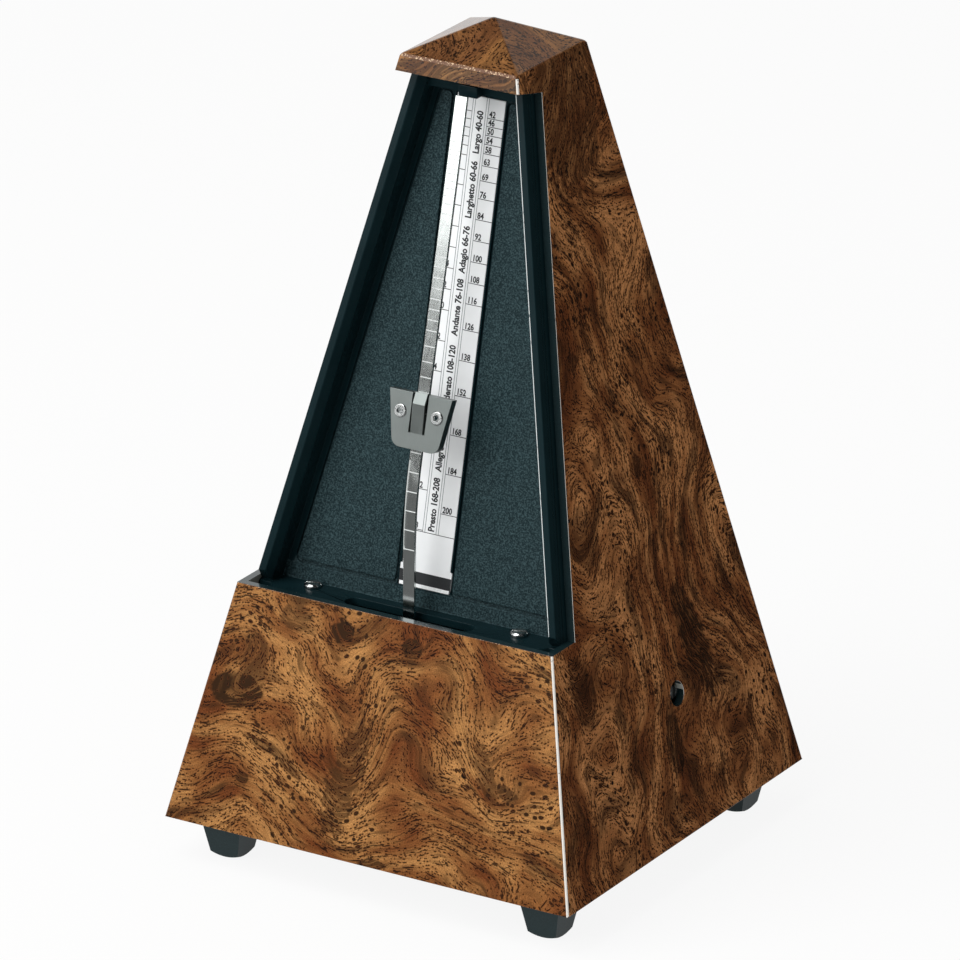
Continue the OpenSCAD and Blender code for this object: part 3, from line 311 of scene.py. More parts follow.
@dataclass(frozen=True)
class BurlFilm(Finish):
    """Glossy film printed as walnut burl.

    The print gives the eye small black-brown dashes that follow a swirling flow, over tan and
    red-brown clouds, with soft dark knots; the clear top layer gives it its gloss.
    """

    seed: float = 0.0
    flow_deg: float = 80.0
    swirl: float = 22.0
    swirl_size: float = 42.0
    crowd: float = 0.0
    gloom: float = 0.0
    pale: str = "#ad7b47"
    mid: str = "#89592f"
    red: str = "#6b3a1b"
    dark: str = "#34200f"
    ink: str = "#120a05"
    knots: tuple[Knot, ...] = ()

    def group(self, part: str, inputs: dict[str, str], outputs: dict[str, str]) -> tuple[Any, Node]:
        """Starts a node group of this film.

        Args:
            part: Last word of the group's name.
            inputs: Input names and their socket types.
            outputs: Output names and their socket types.

        Returns:
            The group and its input node.
        """
        group = bpy.data.node_groups.new(f"{self.name}_{part}", "ShaderNodeTree")
        for way, sockets in (("INPUT", inputs), ("OUTPUT", outputs)):
            for name, kind in sockets.items():
                group.interface.new_socket(name, in_out=way, socket_type="NodeSocket" + kind)
        return group, put(group, "NodeGroupInput")

    def flow(self) -> Tree:
        """Builds the stream function: the grain runs along its contour lines.

        Returns:
            Group from a spot in millimetres to the height of the stream function.
        """
        group, given = self.group("flow", {"Spot": "Vector"}, {"Level": "Float"})
        spot = given.outputs["Spot"]
        seeded = vectors(group, "ADD", spot, (self.seed, self.seed * 0.7, 0))
        a = radians(self.flow_deg)
        total: Any = measure(group, "DOT_PRODUCT", spot, (cos(a), sin(a), 0))
        for size, reach in ((self.swirl_size, self.swirl), (self.swirl_size / 3, self.swirl / 5)):
            wave = noise(group, seeded, size, 0.0, flat=True)
            total = maths(group, "MULTIPLY_ADD", wave, 2 * reach, total)
        for knot in self.knots:
            if knot.swirl:
                pull = ranged(group, knot.reach(group, spot), (0.0, 3.0), (knot.swirl, 0.0), smooth=True)
                total = maths(group, "ADD", total, pull)
        put(group, "NodeGroupOutput", {0: total})
        return group

    def slope(self, flow: Tree) -> Tree:
        """Builds the group that differentiates the stream function.

        Args:
            flow: The stream function.

        Returns:
            Group from a spot to the level, the unit vector across the grain and the steepness.
        """
        group, given = self.group("slope", {"Spot": "Vector"},
                                  {"Level": "Float", "Across": "Vector", "Steepness": "Float"})
        step = 0.4
        levels = []
        for shift in ((0, 0, 0), (step, 0, 0), (0, step, 0)):
            moved = vectors(group, "ADD", given.outputs["Spot"], shift)
            levels.append(put(group, "ShaderNodeGroup", {0: moved}, node_tree=flow))
        parts = [maths(group, "SUBTRACT", level, levels[0]) for level in levels[1:]]
        gradient = put(group, "ShaderNodeCombineXYZ", {0: parts[0], 1: parts[1]})
        gradient = vectors(group, "MULTIPLY", gradient, (1 / step,) * 3)
        put(group, "NodeGroupOutput", {0: levels[0], 1: vectors(group, "NORMALIZE", gradient),
                                       2: measure(group, "LENGTH", gradient)})
        return group

    def marks(self, slope: Tree) -> Tree:
        """Builds a layer of separate dashes, one in a cell, each turned along the grain.

        Args:
            slope: Group that gives the grain's direction.

        Returns:
            Group from a spot and the values of a layer of dashes to their mask.
        """
        names = ("Spacing", "Half Length", "Half Width", "Share", "Patch")
        inputs = {"Spot": "Vector", **dict.fromkeys(names, "Float")}
        group, given = self.group("marks", inputs, {"Mask": "Float"})
        spot, spacing, half_l, half_w, share, patchy = given.outputs[:6]
        shift = (self.seed * 1.3 + 40, self.seed + 40, 0)
        scaled = vectors(group, "ADD", scale(group, spot, maths(group, "DIVIDE", 1.0, spacing)), shift)
        cells = put(group, "ShaderNodeTexVoronoi", {"Vector": scaled, "Scale": 1.0}, voronoi_dimensions="2D")
        middle = scale(group, vectors(group, "SUBTRACT", cells.outputs["Position"], shift), spacing)
        middle = vectors(group, "MULTIPLY", middle, LEVEL)
        grain = put(group, "ShaderNodeGroup", {0: middle}, node_tree=slope)
        away = vectors(group, "MULTIPLY", vectors(group, "SUBTRACT", spot, middle), LEVEL)
        across = measure(group, "DOT_PRODUCT", away, grain.outputs["Across"])
        across = maths(group, "MULTIPLY", across, across)
        along = maths(group, "SUBTRACT", measure(group, "DOT_PRODUCT", away, away), across)
        chance = put(group, "ShaderNodeSeparateColor", {0: cells.outputs["Color"]})
        size = maths(group, "MULTIPLY_ADD", chance.outputs[1], 0.9, 0.5)
        length = maths(group, "POWER", maths(group, "MULTIPLY", half_l, size), 2.0)
        width = maths(group, "POWER", half_w, 2.0)
        along, across = maths(group, "DIVIDE", along, length), maths(group, "DIVIDE", across, width)
        reach = maths(group, "ADD", along, across)
        mask = ranged(group, reach, (0.7, 1.5), (1.0, 0.0))
        patch = ranged(group, noise(group, middle, 8, 1.0, flat=True), (0.32, 0.68), (-1.0, 1.0))
        share = maths(group, "MULTIPLY_ADD", patch, patchy, share)
        kept = maths(group, "LESS_THAN", chance.outputs[0], share)
        put(group, "NodeGroupOutput", {0: maths(group, "MULTIPLY", mask, kept)})
        return group

    def fill(self, tree: Tree, shader: Node) -> None:
        """Wires the burl into the shader.

        Args:
            tree: Node tree of the material.
            shader: Its principled shader.
        """
        uv = put(tree, "ShaderNodeUVMap", uv_map="face_mm")
        # the map is in metres; from here on the pattern counts in millimetres
        spot = vectors(tree, "MULTIPLY", uv, (1 / MM, 1 / MM, 0))
        slope = self.slope(self.flow())
        marks = self.marks(slope)
        level, _, steepness = put(tree, "ShaderNodeGroup", {0: spot}, node_tree=slope).outputs[:3]
        a = radians(self.flow_deg)
        along = measure(tree, "DOT_PRODUCT", spot, (-sin(a), cos(a), 0))

        def streaks(kind: Streak) -> Node:
            """Reads one kind of noise that is drawn out along the grain."""
            x = maths(tree, "MULTIPLY_ADD", level, 1 / kind.across, kind.shift)
            y = maths(tree, "MULTIPLY_ADD", along, 1 / kind.length, self.seed)
            place = put(tree, "ShaderNodeCombineXYZ", {"X": x, "Y": y})
            return noise(tree, place, 1.0, kind.detail, flat=True)

        def window(value: Any, low: float, high: float, floor: float = 0.0, top: float = 1.0) -> Node:
            """Maps a range of a value smoothly to another."""
            return ranged(tree, value, (low, high), (floor, top), smooth=True)

        def dashes(kind: Dashes) -> Node:
            """Lays one layer of dashes along the grain."""
            return put(tree, "ShaderNodeGroup", {0: spot, **dict(enumerate(kind, 1))}, node_tree=marks)

        # clouds of tan and red-brown that follow the grain
        broad = noise(tree, spot, 19, 2.0, flat=True)
        cloud = put(tree, "ShaderNodeMix", {"Factor": 0.4, 2: streaks(CLOUDS), 3: broad})
        ground = put(tree, "ShaderNodeValToRGB", {"Fac": cloud},
                     ramp=[(0, self.dark), (0.36, self.red), (0.47, self.mid), (0.6, self.pale),
                           (1, self.pale)])
        fibre = window(streaks(FIBRES), 0.3, 0.7, 0.8, 1.14)
        speck = window(noise(tree, spot, 0.34, 1.0, flat=True), 0.25, 0.75, 0.74, 1.24)
        ground = tinted(tree, ground, maths(tree, "MULTIPLY", fibre, speck))
        # soft dark clouds, darker threads of the grain and the placed knots, whose widest clouds at the top
        # of the walls are painted shade
        soft = window(streaks(SHADES), 0.57 - self.gloom, 0.74 - self.gloom, 0.0, 0.8)
        soft = maths(tree, "MAXIMUM", soft, window(streaks(THREADS), 0.55, 0.7, 0.0, 0.55))
        rough = noise(tree, spot, 2.2, 3.0, flat=True)
        for knot in self.knots:
            edge = maths(tree, "MULTIPLY_ADD", rough, knot.ragged, knot.reach(tree, spot))
            mask = window(edge, 0.9 + knot.ragged / 2, 1.15 + knot.ragged / 2, knot.dark, 0.0)
            soft = maths(tree, "MAXIMUM", soft, mask)
        soft = maths(tree, "MULTIPLY", soft, window(streaks(GLEAMS), 0.5, 0.66, 1.0, 0.6))
        # eyes: groups of small round knots
        groups = window(noise(tree, spot, 17, 0.0, flat=True), 0.6, 0.64)
        soft = maths(tree, "MAXIMUM", soft, maths(tree, "MULTIPLY", dashes(EYES), groups))
        toned = blend(tree, soft, ground, linear(self.dark))
        # thin broken contour lines, of an even width whatever the steepness
        phase = maths(tree, "MULTIPLY_ADD", level, 1 / CONTOUR_GAP, maths(tree, "MULTIPLY", rough, 0.8))
        far = maths(tree, "MULTIPLY", maths(tree, "PINGPONG", phase, 0.5), CONTOUR_GAP)
        lines = window(maths(tree, "DIVIDE", far, steepness), 0.09, 0.2, 0.95, 0.0)
        ink = maths(tree, "MULTIPLY", lines, window(streaks(BREAKS), 0.47, 0.53))
        # each dash has a red-brown halo, as of a print that spread a little
        halo: Any = None
        for kind in PORES:
            share = kind.share + self.crowd
            ink = maths(tree, "MAXIMUM", ink, dashes(kind._replace(share=share)))
            ring = kind._replace(half_l=kind.half_l * 1.5, half_w=kind.half_w * 2, share=share)
            halo = dashes(ring) if halo is None else maths(tree, "MAXIMUM", halo, dashes(ring))
        haloed = blend(tree, maths(tree, "MULTIPLY", halo, 0.4), toned, linear(self.red))
        inked = blend(tree, maths(tree, "MULTIPLY", ink, 0.92), haloed, linear(self.ink))
        peel = noise(tree, spot, 2.5, 1.0)
        feed(tree, shader, {"Base Color": inked, "Normal": bump(tree, peel, 0.03, 0.1), "Roughness": 0.16,
                            "Specular IOR Level": 0.25})


@dataclass(frozen=True)
class Moulding(Finish):
    """Moulded ABS, either polished in the mould or with a spark-eroded grain.

    The grain gives the eye a fine sparkle of lighter points on a dull ground; the polished part gives
    it soft, dark reflections.
    """

    colour: str = "#1d2f33"
    speck: str = "#4a5f63"
    grain: float = 0.0
    # the real grain is about 0.2 mm; it is drawn twice as coarse so that it still shows
    grain_mm: float = 0.42
    roughness: float = 0.36
    gloss: float = 0.14
    frame_grain: bool = False

    def fill(self, tree: Tree, shader: Node) -> None:
        """Wires the moulding into the shader.

        Args:
            tree: Node tree of the material.
            shader: Its principled shader.
        """
        coarser, flat_relief, relief = 0.28, 0.02, 0.5
        place = object_place(tree)
        fine = noise(tree, place, self.grain_mm * MM, 2.0)
        fine.inputs["Roughness"].default_value = 0.7
        points = ranged(tree, fine, (0.42, 0.72))
        tone = ranged(tree, noise(tree, place, 6 * MM, 2.0), (0.3, 0.7), (0.92, 1.08))
        base = tinted(tree, linear(self.colour), tone)
        amount: Any = self.grain
        rough: Any = self.roughness + coarser * self.grain
        strength: Any = flat_relief + relief * self.grain
        if self.frame_grain:
            amount = maths(tree, "MULTIPLY", self.grained_area(tree, place), self.grain)
            rough = maths(tree, "MULTIPLY_ADD", amount, coarser, self.roughness)
            strength = maths(tree, "MULTIPLY_ADD", amount, relief, flat_relief)
        colour = blend(tree, maths(tree, "MULTIPLY", points, amount), base, linear(self.speck))
        feed(tree, shader, {"Base Color": colour, "Normal": bump(tree, fine, strength, 0.12),
                            "Roughness": rough, "Specular IOR Level": self.gloss})

    def grained_area(self, tree: Tree, place: Socket) -> Node:
        """Masks the grained panels and the border under them, by their place on the leaning plate.

        Args:
            tree: Node tree of the material.
            place: Object coordinates.

        Returns:
            A node whose value is 1 on the grained areas.
        """
        x, y, z = put(tree, "ShaderNodeSeparateXYZ", {"Vector": place}).outputs
        half = maths(tree, "MULTIPLY_ADD", z, -FORM.run, (FORM.half_at(0) + FORM.run * FORM.foot_h) * MM)
        out = maths(tree, "ABSOLUTE", x)
        inside = maths(tree, "GREATER_THAN", maths(tree, "SUBTRACT", half, out), FORM.band_in * MM)
        beside = maths(tree, "GREATER_THAN", out, FORM.groove_half * MM)
        low = maths(tree, "LESS_THAN", z, (FORM.border_z + FORM.foot_h) * MM)
        area = maths(tree, "MAXIMUM", maths(tree, "MULTIPLY", inside, beside), low)
        # only on the plate itself: its level depth behind the front face
        deep = maths(tree, "GREATER_THAN", maths(tree, "ADD", y, half), (FORM.panel_d - 0.3) * MM)
        return maths(tree, "MULTIPLY", area, deep)


@dataclass(frozen=True)
class WornFilm(Finish):
    """Painted highlight: a light line on a rounded film edge, whole or in spots, in a pale colour over the
    film's.
    """

    bare: str = "#f0ece4"
    film: str = "#6a4122"
    share: float = 1.0
    spot_mm: float = 0.9

    def fill(self, tree: Tree, shader: Node) -> None:
        """Wires the painted edge highlight into the shader.

        Args:
            tree: Node tree of the material.
            shader: Its principled shader.
        """
        edge, soft = 0.72 - 0.45 * self.share, 0.04
        spots = noise(tree, object_place(tree), self.spot_mm * MM, 1.0)
        highlit = ranged(tree, spots, (edge - soft, edge + soft))
        colour = blend(tree, highlit, linear(self.film), linear(self.bare))
        feed(tree, shader, {"Base Color": colour, "Roughness": 0.5})


@dataclass(frozen=True)
class Metal(Finish):
    """A rolled, brushed or polished metal.

    Brushing gives the eye fine lines along one axis, and a plain rolled metal a soft, uneven gloss.
    """

    colour: str = "#8b9290"
    roughness: float = 0.3
    brush_mm: float = 0.12
    along: tuple[float, float, float] = (1, 1, 1)
    depth: float = 0.12

    def fill(self, tree: Tree, shader: Node) -> None:
        """Wires the metal into the shader.

        Args:
            tree: Node tree of the material.
            shader: Its principled shader.
        """
        usual = (0.7, 1.3)
        place = object_place(tree)
        drawn = put(tree, "ShaderNodeMapping", {"Vector": place, "Scale": self.along})
        lines = noise(tree, drawn, self.brush_mm * MM, 2.0)
        both = maths(tree, "ADD", lines, noise(tree, place, 5 * MM, 3.0))
        tone = ranged(tree, both, usual, (1 - self.depth, 1 + self.depth))
        rough = ranged(tree, both, usual, (self.roughness * 0.85, self.roughness * 1.2))
        feed(tree, shader, {"Base Color": tinted(tree, linear(self.colour), tone), "Roughness": rough,
                            "Normal": bump(tree, lines, 0.03, 0.02), "Metallic": 1.0})


@dataclass(frozen=True)
class Rough(Finish):
    """Rubber or cast iron: a dull ground with a coarse, pitted skin."""

    colour: str = "#20292b"
    cloud_mm: float = 0.5
    roughness: float = 0.6
    metallic: float = 0.0
    gloss: float = 0.5
    detail: float = 3.0
    spread: tuple[float, float] = (0.3, 0.7)
    tones: tuple[float, float] = (0.85, 1.2)
    pits: float = 0.15

    def fill(self, tree: Tree, shader: Node) -> None:
        """Wires the skin into the shader.

        Args:
            tree: Node tree of the material.
            shader: Its principled shader.
        """
        cloud = noise(tree, object_place(tree), self.cloud_mm * MM, self.detail)
        colour = tinted(tree, linear(self.colour), ranged(tree, cloud, self.spread, self.tones))
        feed(tree, shader, {"Base Color": colour, "Roughness": self.roughness, "Metallic": self.metallic,
                            "Specular IOR Level": self.gloss})
        if self.pits:
            feed(tree, shader, {"Normal": bump(tree, cloud, self.pits, 0.1)})


@dataclass(frozen=True)
class PrintedPlate(Rough):
    """White-lacquered aluminium with a satin face, which gives the eye an even, cool white."""

    colour: str = "#e6e8ea"
    cloud_mm: float = 9.0
    roughness: float = 0.42
    tones: tuple[float, float] = (0.95, 1.03)
    pits: float = 0.0


@dataclass(frozen=True)
class Ink(Rough):
    """Screen-printed ink: flat and slightly thin, so its tone wanders a little."""

    colour: str = "#14181b"
    cloud_mm: float = 0.6
    roughness: float = 0.55
    detail: float = 1.0
    spread: tuple[float, float] = (0.0, 1.0)
    tones: tuple[float, float] = (0.8, 1.4)
    pits: float = 0.0


STEEL = Metal("rolled_steel", "#b4b9b7", 0.4, 0.1)
SPRING_STEEL = Metal("polished_spring_steel", "#cfd4d2", 0.13, 0.14, (1, 0.04, 0.04), 0.06)
SATIN_STEEL = Metal("satin_finished_steel", "#7e8482", 0.36, 0.12, (1, 0.06, 0.06), 0.05)
BRIGHT_STEEL = Metal("bright_zinc_plate", "#c9cccb", 0.2, 0.3, depth=0.06)
BRASS = Metal("rolled_brass", "#c9a352", 0.3, 0.15)
BLUED = Metal("blued_spring_steel", "#27334d", 0.28, 0.15)
IRON = Rough("rough_cast_iron", "#3c3d3f", 0.8, 0.62, 0.7)
RUBBER = Rough("foot_rubber", "#1f2e30", 0.35, 0.5, gloss=0.2)
POLISHED_ABS = Moulding("polished_black_abs", "#13262a", "#2a3c40", 0.0, roughness=0.28)
CUT_ABS = Moulding("cut_black_abs", "#17292c", "#2a3c40", 0.3, roughness=0.45)
LEVEL_CUT = Moulding("smooth_cut_abs", "#17292c", "#2a3c40", 0.0, roughness=0.15, gloss=0.8)
GRAINED_ABS = Moulding("spark_eroded_black_abs", "#102327", "#435a5e", 0.85, roughness=0.25, gloss=0.1,
                       frame_grain=True)
RAW_ABS = Moulding("raw_grey_abs", "#b4b5ae", "#c4c5be", 0.3, 0.8, 0.5)
# painted highlight: a light line along the casing's rounded front-right corner
CORNER_HIGHLIGHT = WornFilm("painted_corner_highlight")
# painted highlight: light spots along the front eaves
EAVES_HIGHLIGHT = WornFilm("painted_eaves_highlight", "#d9b891", share=0.26, spot_mm=0.45)
# painted highlight: a bright line along the right rail's inner front edge
RAIL_EDGE_HIGHLIGHT = WornFilm("painted_rail_highlight", "#d3dada", "#2a3c40", 0.95, 1.6)
PLATE = PrintedPlate("lacquered_aluminium", "#eef0f1")
BLACK_INK = Ink("black_print")
GREY_INK = Ink("grey_print", "#6d7276")
WHITE_INK = Ink("white_print", "#eceeee")
MARK = Ink("white_score_line", "#c9cdcc")

FRONT_KNOTS_AND_SHADE = (
    Knot(-42.0, 36.0, 7.5, 4.6, 1.0, 8.0, 4.0),
    Knot(-27.0, 57.5, 4.5, 3.4, 0.65, 0.0, 5.0),
    Knot(-13.5, 56.5, 3.4, 2.8, 1.0, 20.0, 3.0),
    Knot(6.5, 56.5, 2.9, 2.6, 1.0, 0.0, 2.5),
    Knot(-37.5, 14.5, 1.9, 1.5, 0.9, 0.0, 2.5),
    Knot(-8.5, 20.0, 4.6, 16.0, 0.75, -12.0, 3.5, 1.6),
    Knot(2.0, 1.0, 4.0, 1.2, 0.85, 5.0, 2.0),
    Knot(31.0, 30.0, 2.4, 8.0, 0.65, 25.0, 4.0),
    Knot(37.5, 26.5, 3.2, 1.8, 0.8, -20.0, 2.5),
    # painted shade: a wide dark cloud that darkens the top band of the front wall
    Knot(0.0, 197.0, 22.0, 6.0, 0.8, 0.0, 0.0, 1.2),
)
SIDE_KNOTS_AND_SHADE = (
    Knot(-35.0, 50.0, 5.0, 9.0, 0.8, 10.0, 4.0),
    Knot(18.0, 46.0, 5.0, 17.0, 0.95, 18.0, 4.0),
    Knot(1.5, 24.0, 3.5, 8.5, 0.9, 0.0, 3.0),
    Knot(6.0, 95.0, 1.8, 3.2, 0.85, 0.0, 3.0),
    Knot(-22.0, 85.0, 5.5, 8.5, 0.6, 12.0, 5.0),
    Knot(-15.0, 128.0, 3.0, 2.2, 0.8, 0.0, 3.0),
    Knot(-4.0, 8.0, 4.0, 6.0, 0.5, 0.0, 5.0),
    # painted shade: a wide dark cloud that darkens the upper part of the right wall
    Knot(2.0, 192.0, 15.0, 26.0, 0.7, 0.0, 0.0, 1.4),
)
WALL_FILMS = {
    Side.FRONT: BurlFilm("burl_film_front", knots=FRONT_KNOTS_AND_SHADE, seed=3.0),
    Side.RIGHT: BurlFilm("burl_film_right", knots=SIDE_KNOTS_AND_SHADE, seed=31.0, flow_deg=15.0, crowd=0.16,
                         gloom=0.05, swirl=26.0, swirl_size=46.0, pale="#bc814f", mid="#8c5831",
                         red="#693a1d", dark="#1e1108"),
    Side.BACK: BurlFilm("burl_film_back", seed=57.0, flow_deg=20.0),
    Side.LEFT: BurlFilm("burl_film_left", seed=83.0, flow_deg=15.0),
}
ROOF_FILM = BurlFilm("burl_film_roof", seed=107.0, flow_deg=60.0, pale="#8a5e35", mid="#70482a",
                     red="#56341c")


# Shape helpers -------------------------------------------------------------------------


@dataclass(frozen=True)
class Form:
    """The casing's leaning form; lengths in millimetres, heights from the casing's lower edge."""

    base_w: float = 117.0
    eaves_w: float = 33.4
    wall_h: float = 196.4
    roof_rise: float = 7.8
    foot_h: float = 11.5
    panel_d: float = 13.5
    groove_floor: float = 14.3
    groove_half: float = 8.0
    band_in: float = 7.5
    border_z: float = 64.0

    @property
    def run(self) -> float:
        """Level run of a wall for each millimetre of height."""
        return (self.base_w - self.eaves_w) / 2 / self.wall_h

    @property
    def lean(self) -> float:
        """Lean of the walls in radians."""
        return atan(self.run)

    def half_at(self, z: float) -> float:
        """Level half width of the casing at height z."""
        return self.base_w / 2 - self.run * z

    def on_face(self, depth: float, z: float, x: float = 0.0, lift: float = 0.0) -> Matrix:
        """Place on a plane parallel to the front face.

        Args:
            depth: Level depth of the plane behind the front face.
            z: Height of the place.
            x: Distance from the middle.
            lift: Distance out of the plane, towards the front.

        Returns:
            Matrix whose axes are across, up the slope and out of it, in metres.
        """
        up = Vector((0, sin(self.lean), cos(self.lean)))
        out = Vector((0, -cos(self.lean), sin(self.lean)))
        spot = Vector((x, depth - self.half_at(z), z + self.foot_h)) + out * lift
        return Matrix.Translation(spot * MM) @ Matrix(((1, 0, 0), up, out)).transposed().to_4x4()

    def wall_plane(self, side: Side) -> tuple[Vector, Vector]:
        """Point and outward normal of an outer wall, in metres."""
        x, y = side.value
        normal = Vector((x * cos(self.lean), y * cos(self.lean), sin(self.lean)))
        return Vector((x * self.base_w / 2, y * self.base_w / 2, self.foot_h)) * MM, normal

    def roof_plane(self, side: Side) -> tuple[Vector, Vector]:
        """Point and outward normal of a roof face, in metres."""
        x, y = side.value
        normal = Vector((x * self.roof_rise, y * self.roof_rise, self.eaves_w / 2)).normalized()
        return Vector((0, 0, self.foot_h + self.wall_h + self.roof_rise)) * MM, normal


FORM = Form()


class Rounding(NamedTuple):
    """How a node's edges are rounded.

    The radius is in millimetres; edges that turn more than the angle in degrees are rounded with so
    many faces across. Pierced faces, with slots or holes, are cut into convex parts first.
    """

    radius: float
    angle: float
    segments: int
    pierced: bool = False


def dress(piece: Piece, finish: Finish) -> None:
    """Gives a piece one finish all over."""
    piece.data.materials.clear()
    piece.data.materials.append(finish.material())


def dress_node(node: str, finish: Finish) -> None:
    """Gives a CAD node one finish, in every slot that it has."""
    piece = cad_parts[node]
    if not piece.material_slots:
        piece.data.materials.append(finish.material())
    for holder in piece.material_slots:
        holder.material = finish.material()


def new_piece(name: str, shape: bpy.types.Mesh | bmesh.types.BMesh) -> Piece:
    """Puts a mesh into the scene as a piece.

    Args:
        name: Name of the piece.
        shape: Its mesh, or a finished bmesh, which is then freed.

    Returns:
        The new piece.
    """
    mesh = shape
    if isinstance(shape, bmesh.types.BMesh):
        mesh = bpy.data.meshes.new(name)
        shape.to_mesh(mesh)
        shape.free()
    piece = bpy.data.objects.new(name, mesh)
    bpy.context.scene.collection.objects.link(piece)
    return piece


def settle(piece: Piece) -> Piece:
    """Applies a piece's modifiers.

    Args:
        piece: Piece with live modifiers.

    Returns:
        The same piece with a plain mesh and no modifier.
    """
    graph = bpy.context.evaluated_depsgraph_get()
    mesh = bpy.data.meshes.new_from_object(piece.evaluated_get(graph), preserve_all_data_layers=True,
                                           depsgraph=graph)
    mesh.name = piece.name
    piece.modifiers.clear()
    piece.data = mesh
    return piece


def node_shape(node: str) -> bmesh.types.BMesh:
    """Copies a CAD node's mesh with its points merged and its plane faces made whole.

    Args:
        node: CAD node to copy.

    Returns:
        The copy, which new_piece frees.
    """
    shape = bmesh.new()
    shape.from_mesh(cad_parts[node].data)
    bmesh.ops.remove_doubles(shape, verts=shape.verts, dist=0.002 * MM)
    bmesh.ops.dissolve_limit(shape, angle_limit=radians(0.3), verts=shape.verts, edges=shape.edges)
    return shape


def bevelled(piece: Piece, radius: float, segments: int, **limits: Any) -> Piece:
    """Rounds a piece's edges, then shades its wide plane faces flat and all others smooth.

    Args:
        piece: Piece to round.
        radius: Radius in millimetres.
        segments: Faces across each rounded edge.
        **limits: Properties of the bevel that say which edges it takes.

    Returns:
        The same piece with a plain mesh.
    """
    bevel = piece.modifiers.new("edges", "BEVEL")
    bevel.width = radius * MM
    bevel.segments = segments
    for key, value in limits.items():
        setattr(bevel, key, value)
    settle(piece)
    wide = 2.0 * MM * MM
    least, most, sharp = radians(0.2), radians(6), radians(24)
    many_sides = 9
    shape = bmesh.new()
    shape.from_mesh(piece.data)
    for face in shape.faces:
        # a face of a curved wall turns slightly from wide neighbours on two sides or more
        slight = [edge for edge in face.edges if least < edge.calc_face_angle(0) < most
                  and min(side.calc_area() for side in edge.link_faces) > wide]
        face.smooth = face.calc_area() < wide or (len(slight) > 1 and len(face.verts) < many_sides)
    for edge in shape.edges:
        edge.smooth = edge.calc_face_angle(0) < sharp
    shape.to_mesh(piece.data)
    shape.free()
    return piece


def stand_in(piece: Piece, node: str, body: str) -> None:
    """Lets a piece stand for a CAD node on its body."""
    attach(piece, body)
    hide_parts(node)


def skin(node: str, name: str, rounding: Rounding, finish: Finish, body: str) -> Piece:
    """Copies a CAD node with rounded edges, dresses the copy and lets it stand for the node.

    Args:
        node: CAD node to copy.
        name: Name of the new piece.
        rounding: How its edges are rounded.
        finish: Its finish.
        body: Body that it rides on.

    Returns:
        The new piece.
    """
    shape = node_shape(node)
    if rounding.pierced:
        bmesh.ops.connect_verts_concave(shape, faces=shape.faces)
    piece = bevelled(new_piece(name, shape), rounding.radius, rounding.segments, limit_method="ANGLE",
                     angle_limit=radians(rounding.angle), use_clamp_overlap=not rounding.pierced)
    dress(piece, finish)
    stand_in(piece, node, body)
    return piece


# Sub-assemblies ------------------------------------------------------------------------


class Lamp(NamedTuple):
    """Soft rectangular lamp: place, aim and size in metres, and its face's radiance, where 1 is white."""

    name: str
    spot: tuple[float, float, float]
    aim: tuple[float, float, float]
    size: tuple[float, float]
    radiance: float


# the rod's upper half mirrors the front panel
LAMPS = (Lamp("front_panel", (-0.66, -1.17, 0.742), (-0.1, -0.1, 0.577), (1.1, 1.0), 3.1),
         Lamp("top_panel", (-0.45, -0.75, 1.6), (0, 0, 0.1), (1.3, 1.0), 4.0))


